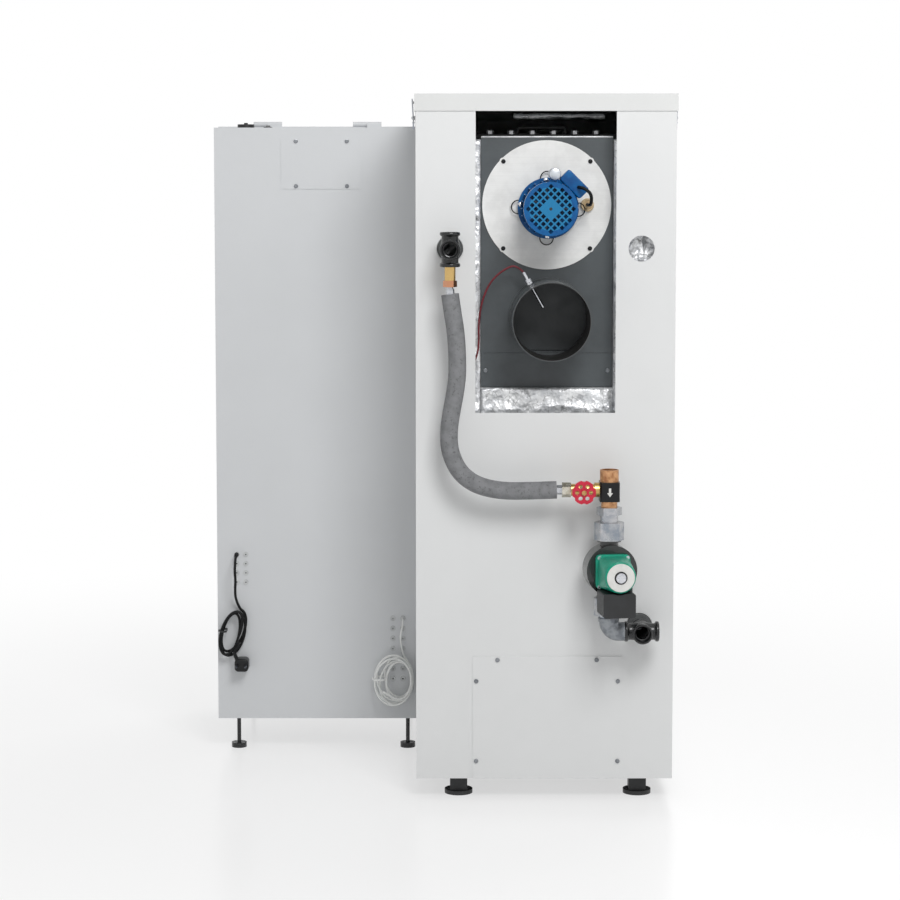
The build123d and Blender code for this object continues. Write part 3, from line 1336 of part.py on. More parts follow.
def bypass_hose():
    """Hose core with its brass nipple and nut at the top and a hexagon at the valve."""
    place = (-TAPPING_X, PIPE_Y)
    port = FLOW_Z - CROSS_ARM
    hose = swept_tube(hose_route(), HOSE_CORE_R, "bypass hose")
    hose += rod("Z", place, HOSE_PIPE_R, (HOSE_TOP - HOSE_CORE_R / 2, HOSE_NUT_TOP))
    hose += hexagon("Z", place, HOSE_NUT_FLATS, (HOSE_NUT_BOTTOM, HOSE_NUT_TOP))
    hose += rod("Z", place, NIPPLE_R, (HOSE_NUT_TOP, port + NIPPLE_BUSH))
    hose += rod("Z", place, PORT_R - FIT, (port, port + NIPPLE_BUSH))
    across = (PIPE_Y, VALVE_Z)
    return hose + hexagon("X", across, HOSE_HEX_FLATS, (HOSE_END_X, HOSE_HEX_END))


def hose_insulation():
    """Foam sleeve over the bypass hose, ending below its top fitting."""
    sleeve = swept_tube(hose_route(), HOSE_FOAM_R, "foam sleeve")
    sleeve -= swept_tube(hose_route(), HOSE_CORE_R + SOFT_GAP, "foam bore")
    reach = 3 * HOSE_FOAM_R
    x = (-TAPPING_X - reach, -TAPPING_X + reach)
    return sleeve - block(x, (PIPE_Y - reach, PIPE_Y + reach), (FOAM_TOP, FOAM_TOP + reach))


def gate_valve_body():
    """Brass gate valve between the hose and the mixing valve, bonnet to the rear."""
    across = (PIPE_Y, VALVE_Z)
    valve = hexagon("X", across, VALVE_NUT_FLATS, (HOSE_HEX_END, VALVE_NUT_END))
    valve += rod("X", across, VALVE_BODY_R, (VALVE_NUT_END, VALVE_BODY_END))
    valve += rod("X", across, VALVE_BEAD_R, (VALVE_BODY_END, MIX_PORT_X))
    valve += rod("Y", (WHEEL_X, VALVE_Z), BONNET_R, (PIPE_Y - BONNET_REACH, PIPE_Y))
    valve -= rod("X", across, VALVE_BORE_R, (HOSE_HEX_END - SHEET, MIX_PORT_X + SHEET))
    stem = (PIPE_Y - BONNET_REACH - SHEET, PIPE_Y - BONNET_REACH + STEM_DEPTH)
    return valve - rod("Y", (WHEEL_X, VALVE_Z), STEM_R + FIT, stem)


def gate_valve_handwheel():
    """Six-lobed handwheel fixed on the valve's stem by a brass nut."""
    seat = PIPE_Y - BONNET_REACH - DOOR_GAP
    face = seat - WHEEL_THICKNESS
    centre = (WHEEL_X, VALVE_Z)
    wheel = rod("Y", centre, WHEEL_R, (face, seat))
    step = 360 / WHEEL_LOBES
    for lobe in range(WHEEL_LOBES):
        notch = polar(centre, WHEEL_R + WHEEL_HOLE_R, step * (lobe + 0.5))
        wheel -= rod("Y", notch, 1.5 * WHEEL_HOLE_R, (face - SHEET, seat + SHEET))
        window = polar(centre, WHEEL_R * 0.58, step * lobe)
        wheel -= rod("Y", window, WHEEL_HOLE_R, (face - SHEET, seat + SHEET))
    wheel += rod("Y", centre, STEM_R, (seat, PIPE_Y - BONNET_REACH + STEM_DEPTH - DOOR_GAP))
    return wheel + hexagon("Y", centre, 2 * WHEEL_NUT_R, (face - WHEEL_NUT, face))


def mixing_valve():
    """Brass thermostatic mixing valve with an open top port."""
    place = (PUMP_X, PIPE_Y)
    valve = rod("Z", place, MIXER_NECK_R, (MIXER_BOTTOM, MIXER_TOP))
    valve += rod("Z", place, MIXER_TOP_R, (COVER_TOP, MIXER_TOP))
    valve -= rod("Z", place, MIXER_BORE_R, (MIXER_BOTTOM - SHEET, MIXER_TOP + SHEET))
    valve -= rod("Z", place, PORT_R, (MIXER_TOP - MIXER_BEAD, MIXER_TOP + SHEET))
    side = rod("X", (PIPE_Y, VALVE_Z), VALVE_BODY_R, (MIX_PORT_X, PUMP_X - MIXER_BORE_R))
    side -= rod("X", (PIPE_Y, VALVE_Z), VALVE_BORE_R, (MIX_PORT_X - SHEET, PUMP_X))
    side -= rod("Z", place, MIXER_BORE_R, (COVER_BOTTOM, COVER_TOP))
    return valve + side - rod("X", (PIPE_Y, VALVE_Z), VALVE_BORE_R, (MIX_PORT_X, PUMP_X))


def mixing_valve_cover():
    """Black insulating cover around the mixing valve."""
    half = COVER_HALF
    cover = block(
        (PUMP_X - half, PUMP_X + half),
        (PIPE_Y - COVER_DEEP_HALF, PIPE_Y + COVER_DEEP_HALF),
        (COVER_BOTTOM, COVER_TOP),
    )
    cover = fillet(cover.edges().filter_by(Axis.Z), COVER_HALF / 4)
    cover -= rod("Z", (PUMP_X, PIPE_Y), MIXER_NECK_R + COVER_GAP, (COVER_BOTTOM - SHEET, COVER_TOP + SHEET))
    return cover - rod("X", (PIPE_Y, VALVE_Z), VALVE_BODY_R + COVER_GAP, (MIX_PORT_X - SHEET, PUMP_X))


def union(end, away):
    """Union nut over a pump port at height end, with its tail pointing along away."""
    place = (PUMP_X, PIPE_Y)
    inward = end - away * UNION_GRIP
    outward = inward + away * (UNION_ABOVE + UNION_GRIP)
    nut = rod("Z", place, UNION_R, sorted((inward, outward)))
    nut = nut & hexagon("Z", place, 2 * UNION_R - 4, sorted((inward, outward)))
    nut -= rod("Z", place, PUMP_PORT_R + FIT, sorted((inward - away, outward - away * UNION_LIP)))
    nut -= rod("Z", place, TAIL_R + SOFT_GAP, sorted((inward, outward + away)))
    return nut


def union_nuts():
    """Upper union with its reducing tail, and the lower union nut with a short tail."""
    place = (PUMP_X, PIPE_Y)
    top = PUMP_Z + PUMP_LENGTH / 2
    bottom = PUMP_Z - PUMP_LENGTH / 2
    tail = rod("Z", place, TAIL_FLANGE_R, (top, top + TAIL_FLANGE))
    tail += rod("Z", place, TAIL_R, (top, MIXER_BOTTOM))
    tail += hexagon("Z", place, TAIL_NUT_FLATS, (MIXER_BOTTOM - TAIL_NUT, MIXER_BOTTOM))
    tail -= rod("Z", place, MIXER_BORE_R, (top - SHEET, MIXER_BOTTOM + SHEET))
    low = rod("Z", place, TAIL_FLANGE_R, (bottom - TAIL_FLANGE, bottom))
    low += rod("Z", place, TAIL_R, (elbow_top(), bottom))
    low -= rod("Z", place, MIXER_BORE_R, (elbow_top() - SHEET, bottom + SHEET))
    return [union(top, 1), tail, union(bottom, -1), low]


def elbow_top():
    """Height of the galvanised elbow's upper mouth."""
    return RETURN_Z + ELBOW_BEND


def pump_frame():
    """Turns a shape built about the pump's own axes into its place on the pipe."""
    return Pos(PUMP_X, PIPE_Y, PUMP_Z) * Rot(0, 0, PUMP_TURN)


def pump_volute():
    """Cast pump housing with a threaded port above and below."""
    half = PUMP_LENGTH / 2
    body = rod("Y", (0, 0), VOLUTE_R, (-VOLUTE_FRONT, VOLUTE_BACK))
    body = fillet(body.edges().filter_by(GeomType.CIRCLE).sort_by(Axis.Y)[-1], VOLUTE_BACK / 2)
    body += rod("Z", (0, 0), PUMP_NECK_R, (-half, half))
    for s in (-1, 1):
        body += rod("Z", (0, 0), PUMP_PORT_R, sorted((s * half, s * (half - PUMP_PORT))))
    body -= rod("Z", (0, 0), PUMP_BORE_R, (-half - SHEET, half + SHEET))
    return pump_frame() * body


def pump_motor():
    """Motor on a square flange, with a round plate on its face."""
    side = MOTOR_SQUARE / 2
    seat = -VOLUTE_FRONT
    flange = block((-side, side), (seat - MOTOR_SQUARE_THICKNESS, seat), (-side, side))
    flange = fillet(flange.edges().filter_by(Axis.Y), MOTOR_SQUARE / 10)
    body = rod("Y", (0, 0), PUMP_MOTOR_R, (-PUMP_MOTOR_FACE, seat - MOTOR_SQUARE_THICKNESS))
    rim = body.edges().filter_by(GeomType.CIRCLE).sort_by(Axis.Y)[0]
    body = fillet(rim, PUMP_MOTOR_R / 5) + flange
    body += rod("Y", (0, 0), PUMP_DISC_R, (-PUMP_MOTOR_FACE - PUMP_DISC, -PUMP_MOTOR_FACE))
    hole = (-PUMP_MOTOR_FACE - PUMP_DISC - SHEET, VENT_SHANK - PUMP_MOTOR_FACE)
    return pump_frame() * (body - rod("Y", (0, 0), VENT_SHANK_R + FIT, hole))


def pump_vent_screw():
    """Slotted vent screw in the middle of the pump's face."""
    seat = -PUMP_MOTOR_FACE - PUMP_DISC
    head = rod("Y", (0, 0), VENT_R, (seat - VENT_HEAD, seat))
    slot = block((-VENT_R, VENT_R), (seat - VENT_HEAD, seat - VENT_HEAD / 2), (-SHEET / 2, SHEET / 2))
    shank = rod("Y", (0, 0), VENT_SHANK_R, (seat, VENT_SHANK - PUMP_MOTOR_FACE - DOOR_GAP))
    return pump_frame() * (head - slot + shank)


def pump_terminal_box():
    """Terminal box under the pump's motor, with a cable gland at its right."""
    top = SOFT_GAP - PUMP_MOTOR_R + SHEET
    half = PUMP_BOX_HALF
    box = block((-half, half), (-PUMP_BOX_FRONT, -PUMP_BOX_BACK), (top - PUMP_BOX_HEIGHT, top))
    box = fillet(box.edges().filter_by(Axis.Y), PUMP_BOX_HEIGHT / 10)
    box -= rod("Y", (0, 0), PUMP_MOTOR_R + SOFT_GAP, (-PUMP_MOTOR_FACE, 0))
    side = MOTOR_SQUARE / 2 + SOFT_GAP
    box -= block((-side, side), (-VOLUTE_FRONT - MOTOR_SQUARE_THICKNESS - SOFT_GAP, 0), (-side, side))
    gland = (half - PUMP_GLAND_R, -(PUMP_BOX_FRONT + PUMP_BOX_BACK) / 2)
    box += rod("Z", gland, PUMP_GLAND_R, (top - PUMP_BOX_HEIGHT / 2, top + PUMP_GLAND))
    box -= rod("Y", (0, 0), PUMP_MOTOR_R + SOFT_GAP, (-PUMP_MOTOR_FACE, 0))
    return pump_frame() * box


def return_elbow():
    """Galvanised elbow from the pump's lower union to the return cross."""
    end_x = TAPPING_X - CROSS_ARM
    corner = (PUMP_X, PIPE_Y, RETURN_Z)
    path = FilletPolyline((PUMP_X, PIPE_Y, elbow_top()), corner, (end_x, PIPE_Y, RETURN_Z), radius=ELBOW_R + SHEET)
    plane = Plane(path @ 0, z_dir=path % 0)
    elbow = sweep(plane * Circle(ELBOW_R), path)
    elbow += rod("Z", (PUMP_X, PIPE_Y), ELBOW_COLLAR_R, (elbow_top() - ELBOW_COLLAR, elbow_top()))
    return elbow - sweep(plane * Circle(ELBOW_BORE_R), path)


# Hopper cabinet


def hopper_casing():
    """Folded sheet cabinet with a fixed strip at the rear of its top."""
    x = (HOPPER_LEFT, HOPPER_RIGHT)
    y = (HOPPER_SETBACK, HOPPER_FRONT)
    z = (HOPPER_BOTTOM, HOPPER_TOP)
    shell = block(x, y, z)
    shell -= block((x[0] + SHEET, x[1] - SHEET), (y[0] + SHEET, y[1] - SHEET), (z[0] + SHEET, z[1] - SHEET))
    strip = y[0] + HOPPER_TOP_STRIP
    rim = RETURN_FLANGE
    shell -= block((x[0] + rim, x[1] - rim), (strip, y[1] - rim), (z[1] - 2 * SHEET, z[1] + SHEET))
    shell -= rod("X", (FEED_Y, FEED_Z), FEED_TUBE_R + DOOR_GAP, (x[1] - 2 * SHEET, x[1] + SHEET))
    cut = (y[0] - SHEET, y[0] + 2 * SHEET)
    for place in left_grommets() + right_grommets():
        shell -= rod("Y", place, GROMMET_NECK_R + SOFT_GAP, cut)
    for hole in screw_holes("Y", service_screw_places(), cut):
        shell -= hole
    half_x, half_y = SWITCH_HALF_X - SWITCH_RIM, SWITCH_HALF_Y - SWITCH_RIM
    top = (z[1] - 2 * SHEET, z[1] + SHEET)
    gap = SOFT_GAP
    shell -= block((SWITCH_X - half_x - gap, SWITCH_X + half_x + gap), (SWITCH_Y - half_y - gap, SWITCH_Y + half_y + gap), top)
    shell += rod("Z", (CAP_X, CAP_Y), CAP_NECK_R, (z[1] - SHEET, z[1] + CAP_NECK))
    for place in hopper_hinges():
        shell += hinge_ear(place)
    return shell


def hopper_hinges():
    """Middles of the lid's two hinges along X."""
    quarter = HOPPER_WIDTH / 4
    return (HOPPER_MID_X - quarter, HOPPER_MID_X + quarter)


def hinge_ear(middle):
    """Hinge lug and pin for the lid, on the fixed top strip."""
    span = (middle, middle + HOPPER_HINGE / 2)
    lug = rod("X", (LID_HINGE_Y, LID_HINGE_Z), HOPPER_HINGE_R, span)
    lug += block(span, (LID_HINGE_Y - 2 * HOPPER_HINGE_R, LID_HINGE_Y), (HOPPER_TOP - SHEET, LID_HINGE_Z))
    pin = (middle - HOPPER_HINGE / 2, middle)
    return lug + rod("X", (LID_HINGE_Y, LID_HINGE_Z), HOPPER_HINGE_PIN_R, pin)


def hopper_lid():
    """Lid on two hinges, with a skirt that drops into the casing's opening."""
    x = (HOPPER_LEFT, HOPPER_RIGHT)
    base = HOPPER_TOP + SOFT_GAP
    top = HOPPER_TOP + HOPPER_LID_RISE
    lid = block(x, (LID_HINGE_Y + DOOR_GAP, HOPPER_FRONT), (base, top))
    rim = RETURN_FLANGE + HOPPER_LID_GAP
    skirt_y = (LID_HINGE_Y + 2 * HOPPER_LID_SKIRT, HOPPER_FRONT - rim)
    skirt = block((x[0] + rim, x[1] - rim), skirt_y, (base - HOPPER_LID_SKIRT, base))
    skirt -= block(
        (x[0] + rim + SHEET, x[1] - rim - SHEET),
        (skirt_y[0] + SHEET, skirt_y[1] - SHEET),
        (base - HOPPER_LID_SKIRT, base),
    )
    lid += skirt
    for middle in hopper_hinges():
        span = (middle - HOPPER_HINGE / 2, middle - SOFT_GAP)
        lid += rod("X", (LID_HINGE_Y, LID_HINGE_Z), HOPPER_HINGE_R, span)
        lid += block(span, (LID_HINGE_Y, LID_HINGE_Y + 2 * HOPPER_HINGE_R), (base, LID_HINGE_Z))
        lid -= rod("X", (LID_HINGE_Y, LID_HINGE_Z), HOPPER_HINGE_PIN_R + FIT, (span[0] - SHEET, span[1] + SHEET))
    return lid


def hopper_bin():
    """Pellet bin that narrows to a throat over the feed tube, which runs into the boiler."""
    wall = BIN_WALL
    x = (HOPPER_LEFT + BIN_SIDE_GAP, HOPPER_RIGHT - BIN_SIDE_GAP)
    y = (LID_HINGE_Y, HOPPER_FRONT - BIN_SIDE_GAP)
    top = HOPPER_TOP - SHEET - RETURN_FLANGE
    throat_x = (x[0] + x[1]) / 2

    def shape(grow):
        upper = block((x[0] - grow, x[1] + grow), (y[0] - grow, y[1] + grow), (BIN_SHOULDER, top))
        wide = Rectangle(x[1] - x[0] + 2 * grow, y[1] - y[0] + 2 * grow)
        narrow = Rectangle(2 * (BIN_THROAT_HALF_X + grow), 2 * (BIN_THROAT_HALF_Y + grow))
        high = Pos((x[0] + x[1]) / 2, (y[0] + y[1]) / 2, BIN_SHOULDER) * wide
        low = Pos(throat_x, FEED_Y, FEED_Z) * narrow
        return upper + loft([low, high])

    tube = rod("X", (FEED_Y, FEED_Z), FEED_TUBE_R, (FEED_START_X, FEED_END_X))
    hollow = shape(-wall) & block((HOPPER_LEFT, HOPPER_RIGHT), (0, FRONT_Y), (FEED_Z, top))
    solid = shape(0) + tube
    solid -= hollow
    return solid - rod("X", (FEED_Y, FEED_Z), FEED_BORE_R, (FEED_START_X + wall, FEED_END_X + wall)) - rod(
        "X", (FEED_Y, FEED_Z), SCREW_SHAFT_R + FIT, (FEED_START_X - wall, FEED_START_X + 2 * wall)
    )


def auger_screw():
    """Feed screw with one flight, driven at its left end."""
    across = (FEED_Y, FEED_Z)
    start = FEED_START_X + 3 * BIN_WALL
    end = FEED_END_X - BIN_WALL
    shaft = rod("X", across, SCREW_SHAFT_R, (FEED_START_X - GEARBOX_LENGTH / 2, end))
    length = end - start - SCREW_FLIGHT
    middle = (SCREW_SHAFT_R + SCREW_FLIGHT_R) / 2
    helix = Helix(pitch=SCREW_PITCH, height=length, radius=middle)
    width = SCREW_FLIGHT_R - SCREW_SHAFT_R + 2 * SHEET
    section = Plane(helix @ 0, x_dir=Vector(helix @ 0).normalized(), z_dir=helix % 0) * Rectangle(width, SCREW_FLIGHT)
    flight = sweep(section, helix, is_frenet=True)
    flight = Pos(start + SCREW_FLIGHT / 2, *across) * Rot(0, 90, 0) * flight
    flight = flight & rod("X", across, SCREW_FLIGHT_R, (start, end))
    return shaft + flight


def auger_gearmotor():
    """Gearbox on the left end of the feed tube with its motor hanging below."""
    x = (FEED_START_X - GEARBOX_LENGTH, FEED_START_X)
    half = GEARBOX_HALF
    gearbox = block(x, (FEED_Y - half, FEED_Y + half), (FEED_Z - half, FEED_Z + half))
    motor = ((x[0] + x[1]) / 2, FEED_Y)
    gearbox += rod("Z", motor, GEARMOTOR_R / 2 + SHEET, (FEED_Z - half - SHEET, FEED_Z - half))
    radius = min(GEARMOTOR_R, GEARBOX_LENGTH / 2)
    gearbox += rod("Z", motor, radius, (FEED_Z - half - GEARMOTOR_LENGTH, FEED_Z - half))
    return gearbox - rod("X", (FEED_Y, FEED_Z), SCREW_SHAFT_R + FIT, (x[0] + BIN_WALL, x[1] + BIN_WALL))


def service_plate():
    """Small screwed plate near the top of the hopper's rear."""
    left = HOPPER_LEFT + PLATE_LEFT_INSET
    y = (HOPPER_SETBACK - SHEET, HOPPER_SETBACK)
    plate = block((left, left + PLATE_WIDTH), y, (PLATE_BOTTOM, PLATE_BOTTOM + PLATE_HEIGHT))
    for hole in screw_holes("Y", service_screw_places(), (y[0] - SHEET, y[1] + SHEET)):
        plate -= hole
    return plate


def cable_grommets():
    """Rubber grommets in the cable entries; the two in use are closed by their lead."""
    used = (mains_exit(), sensor_exit())
    grommets = []
    for place in left_grommets() + right_grommets():
        y = (HOPPER_SETBACK - GROMMET_FLANGE, HOPPER_SETBACK)
        ring = rod("Y", place, GROMMET_R, y)
        ring += rod("Y", place, GROMMET_NECK_R, (y[1], y[1] + 2 * SHEET))
        if place not in used:
            ring -= rod("Y", place, GROMMET_HOLE_R, (y[0] - SHEET, y[1] + 3 * SHEET))
        grommets.append(ring)
    return grommets


def thermostat_cap():
    """Screw cap over the reset button of the safety thermostat."""
    base = HOPPER_TOP + SOFT_GAP
    cap = rod("Z", (CAP_X, CAP_Y), CAP_R, (base, base + CAP_HEIGHT))
    cap -= rod("Z", (CAP_X, CAP_Y), CAP_NECK_R + FIT, (base, HOPPER_TOP + CAP_NECK + SOFT_GAP))
    return cap + rod("Z", (CAP_X, CAP_Y), CAP_NUB_R, (base + CAP_HEIGHT, base + CAP_HEIGHT + CAP_NUB))


def main_switch_frame():
    """Frame of the main switch, snapped into the hopper's top strip."""
    x, y = SWITCH_X, SWITCH_Y
    rim = block(
        (x - SWITCH_HALF_X, x + SWITCH_HALF_X),
        (y - SWITCH_HALF_Y, y + SWITCH_HALF_Y),
        (HOPPER_TOP, HOPPER_TOP + SWITCH_RIM_HEIGHT),
    )
    half_x, half_y = SWITCH_HALF_X - SWITCH_RIM, SWITCH_HALF_Y - SWITCH_RIM
    rim += block((x - half_x, x + half_x), (y - half_y, y + half_y), (HOPPER_TOP - SWITCH_DEPTH, HOPPER_TOP))
    well_x, well_y = half_x - SHEET, half_y - SHEET
    rim -= block(
        (x - well_x, x + well_x), (y - well_y, y + well_y), (HOPPER_TOP - SWITCH_DEPTH / 2, HOPPER_TOP + SWITCH_DEPTH)
    )
    return rim - rod("X", (y, HOPPER_TOP), ROCKER_PIN_R + FIT, (x - half_x, x + half_x))


def main_switch_rocker():
    """Rocker on a pin across the frame."""
    x, y = SWITCH_X, SWITCH_Y
    half_x = SWITCH_HALF_X - SWITCH_RIM - SHEET - ROCKER_GAP
    half_y = SWITCH_HALF_Y - SWITCH_RIM - SHEET - 3 * ROCKER_GAP
    rocker = Pos(x, y, HOPPER_TOP + ROCKER_THICKNESS / 4) * Rot(ROCKER_TILT, 0, 0) * Box(
        2 * half_x, 2 * half_y, ROCKER_THICKNESS
    )
    return rocker + rod("X", (y, HOPPER_TOP), ROCKER_PIN_R, (x - half_x - SHEET, x + half_x + SHEET))


def hopper_legs():
    """Four threaded legs with round pads."""
    legs = []
    for place in leg_places():
        leg = rod("Z", place, LEG_PAD_R, (0, LEG_PAD_HEIGHT))
        legs.append(leg + rod("Z", place, LEG_STEM_R, (0, HOPPER_BOTTOM)))
    return legs


# Leads on the hopper's rear


def exit_bend(place, step, turns):
    """Points that lead a cord straight out of its grommet and bend it down in equal turns."""
    x, z = place
    y = HOPPER_SETBACK - GROMMET_FLANGE
    points = [(x, y, z)]
    for number in range(turns):
        angle = math.radians(90 * number / turns)
        y -= step * math.cos(angle)
        z -= step * math.sin(angle)
        points.append((x, y, z))
    return points


def mains_hank_place():
    return (HOPPER_LEFT + MAINS_HANK_INSET, MAINS_HANK_Z)


def sensor_hank_place():
    return (HOPPER_RIGHT - SENSOR_HANK_INSET, SENSOR_HANK_Z)


def mains_cord():
    """Mains lead from its grommet down to the top of its hank."""
    x, z = mains_exit()
    middle, height = mains_hank_place()
    hank_y = HOPPER_SETBACK - HANK_CLEAR - 2 * MAINS_R
    top_x = middle + MAINS_R
    top_z = height + MAINS_HANK_LONG - MAINS_R
    route = exit_bend((x, z), MAINS_EXIT_STEP, 3)
    route += [
        (x + 1.0, HOPPER_SETBACK - 46.0, z - 46.0),
        (x - 1.0, HOPPER_SETBACK - 34.0, z - 70.0),
        (x - 1.5, HOPPER_SETBACK - 20.0, z - 90.0),
        (top_x, hank_y, top_z),
    ]
    return swept_tube(route, MAINS_R, "mains lead")


def mains_cord_hank():
    """Outer shape of the tied hank of mains lead."""
    x, z = mains_hank_place()
    outer = Ellipse(MAINS_HANK_SHORT, MAINS_HANK_LONG)
    inner = Ellipse(MAINS_HANK_SHORT - MAINS_HANK_BUNDLE, MAINS_HANK_LONG - MAINS_HANK_BUNDLE)
    ring = extrude(outer - inner, MAINS_HANK_DEPTH)
    return Pos(x, HOPPER_SETBACK - HANK_CLEAR, z) * Rot(0, MAINS_HANK_TILT, 0) * Rot(90, 0, 0) * ring


def mains_plug():
    """Angled mains plug that hangs below the hank, with two round pins."""
    left = HOPPER_LEFT + PLUG_INSET - PLUG_WIDTH / 2
    rear = HOPPER_SETBACK - HANK_CLEAR
    x = (left, left + PLUG_WIDTH)
    body = block(x, (rear - PLUG_DEPTH, rear), (PLUG_TOP - PLUG_HEIGHT, PLUG_TOP))
    body = fillet(body.edges().filter_by(Axis.Y), PLUG_FILLET)
    neck = Pos(x[0] + PLUG_NECK_R, rear - MAINS_HANK_DEPTH + PLUG_NECK_R, PLUG_TOP) * Rot(0, -PLUG_NECK_LEAN, 0)
    body += neck * Cylinder(PLUG_NECK_R, 2 * PLUG_NECK)
    middle = (x[0] + x[1]) / 2
    for s in (-1, 1):
        pin = (middle + s * PLUG_PIN_PITCH / 2, PLUG_TOP - PLUG_HEIGHT / 2)
        body += rod("Y", pin, PLUG_PIN_R, (rear - PLUG_DEPTH - PLUG_PIN, rear - PLUG_DEPTH))
    return body


def sensor_cord():
    """Sensor lead from its grommet down to the top of its hank."""
    x, z = sensor_exit()
    hank_y = HOPPER_SETBACK - GROMMET_FLANGE - HANK_CLEAR - 2 * SENSOR_R
    route = exit_bend((x, z), 4.0 * SENSOR_R, 3)
    route += [
        (x - 3.0, HOPPER_SETBACK - 21.0, z - 24.0),
        (x - 5.0, HOPPER_SETBACK - 15.0, z - 40.0),
        (x - 3.0, HOPPER_SETBACK - 9.0, z - 58.0),
        (x + 2.0, hank_y, z - 80.0),
    ]
    return swept_tube(route, SENSOR_R, "sensor lead")


def sensor_cord_hank():
    """Outer shape of the tied hank of sensor lead."""
    x, z = sensor_hank_place()
    outer = Ellipse(SENSOR_HANK_HALF, SENSOR_HANK_HALF_Z)
    inner = Pos(SENSOR_HOLE_SHIFT, 0) * Ellipse(SENSOR_HANK_HOLE, SENSOR_HANK_HOLE_Z)
    ring = extrude(outer - inner, SENSOR_HANK_DEPTH)
    return Pos(x, HOPPER_SETBACK - GROMMET_FLANGE - HANK_CLEAR, z) * Rot(90, 0, 0) * ring


PARTS = {
    "base_frame": base_frame,
    "boiler_feet": boiler_feet,
    "left_side_casing": lambda: side_casing(-1),
    "right_side_casing": lambda: side_casing(1),
    "rear_casing": rear_casing,
    "rear_access_cover": rear_access_cover,
    "screws_and_nuts": screws_and_nuts,
    "front_casing": front_casing,
    "boiler_lid": boiler_lid,
    "left_latch_lever": lambda: latch_lever(-1),
    "right_latch_lever": lambda: latch_lever(1),
    "left_latch_bail": lambda: latch_bail(-1),
    "right_latch_bail": lambda: latch_bail(1),
    "body_insulation": body_insulation,
    "heat_exchanger": heat_exchanger,
    "top_hatch": top_hatch,
    "turbulators": turbulators,
    "smoke_box": smoke_box,
    "smoke_box_cover": smoke_box_cover,
    "flue_pipe": flue_pipe,
    "flue_probe": flue_probe,
    "fan_plate": fan_plate,
    "motor_stator": motor_stator,
    "motor_cowl": motor_cowl,
    "motor_electrics": motor_electrics,
    "fan_rotor": fan_rotor,
    "combustion_door": combustion_door,
    "ash_drawer": ash_drawer,
    "control_unit": control_unit,
    "burner": burner,
    "flow_cross": flow_cross,
    "return_cross": return_cross,
    "bypass_hose": bypass_hose,
    "hose_insulation": hose_insulation,
    "gate_valve_body": gate_valve_body,
    "gate_valve_handwheel": gate_valve_handwheel,
    "mixing_valve": mixing_valve,
    "mixing_valve_cover": mixing_valve_cover,
    "union_nuts": union_nuts,
    "pump_volute": pump_volute,
    "pump_motor": pump_motor,
    "pump_vent_screw": pump_vent_screw,
    "pump_terminal_box": pump_terminal_box,
    "return_elbow": return_elbow,
    "hopper_casing": hopper_casing,
    "hopper_lid": hopper_lid,
    "hopper_bin": hopper_bin,
    "auger_screw": auger_screw,
    "auger_gearmotor": auger_gearmotor,
    "service_plate": service_plate,
    "cable_grommets": cable_grommets,
    "thermostat_cap": thermostat_cap,
    "main_switch_frame": main_switch_frame,
    "main_switch_rocker": main_switch_rocker,
    "hopper_legs": hopper_legs,
    "mains_cord": mains_cord,
    "mains_cord_hank": mains_cord_hank,
    "mains_plug": mains_plug,
    "sensor_cord": sensor_cord,
    "sensor_cord_hank": sensor_cord_hank,
}


def footprint_shift():
    """Move that puts the origin in the middle of the whole footprint."""
    left = HOPPER_LEFT
    right = BODY_HALF + LATCH_PROUD
    front = FRONT_Y + FRONT_PROUD
    return Pos(-(left + right) / 2, -(front - REAR_PROUD) / 2, 0)


def main():
    os.makedirs("parts", exist_ok=True)
    shift = footprint_shift()
    for name, make in PARTS.items():
        made = make()
        solids = made if isinstance(made, list) else [made]
        bodies = [body for solid in solids for body in (shift * solid).solids()]
        shape = bodies[0] if len(bodies) == 1 else Compound(children=bodies)
        export_step(shape, f"parts/{name}.step")


main()
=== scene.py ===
"""Pellet boiler with its pellet hopper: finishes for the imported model, and its fine pieces.

Sizes are millimetres about the boiler: X = 0 in its middle, Y = 0 on its rear face with +Y
towards its front, Z = 0 on the floor. to_row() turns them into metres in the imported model's frame.
"""

import logging
import math
from dataclasses import dataclass
from enum import Enum
from typing import Optional, Sequence, Union

import bmesh
import bpy
import numpy as np
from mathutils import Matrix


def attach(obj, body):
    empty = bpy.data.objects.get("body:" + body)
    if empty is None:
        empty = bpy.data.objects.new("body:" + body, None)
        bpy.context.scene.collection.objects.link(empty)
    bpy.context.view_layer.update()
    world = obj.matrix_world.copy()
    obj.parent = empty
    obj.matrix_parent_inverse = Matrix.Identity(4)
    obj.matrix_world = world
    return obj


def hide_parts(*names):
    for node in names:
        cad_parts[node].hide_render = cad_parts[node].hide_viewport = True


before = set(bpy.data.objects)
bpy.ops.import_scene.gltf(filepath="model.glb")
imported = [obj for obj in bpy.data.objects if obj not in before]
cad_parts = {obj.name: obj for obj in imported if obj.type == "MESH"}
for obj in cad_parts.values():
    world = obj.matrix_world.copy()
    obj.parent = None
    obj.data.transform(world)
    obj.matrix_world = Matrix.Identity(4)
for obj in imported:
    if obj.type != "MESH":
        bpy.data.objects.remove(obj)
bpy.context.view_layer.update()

ROOT = "boiler_and_hopper"
ROW_SHIFT = (207.6, -363.0, 0.0)
LOG = logging.getLogger("pellet_boiler")

Colour = tuple[float, float, float]
Point = tuple[float, float, float]


def to_row(points: np.ndarray) -> np.ndarray:
    """Moves points from boiler millimetres to row metres.

    Args:
        points: Any array whose last axis is x, y, z in millimetres.

    Returns:
        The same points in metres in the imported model's frame.
    """
    return (np.asarray(points, float) + np.array(ROW_SHIFT)) / 1000.0


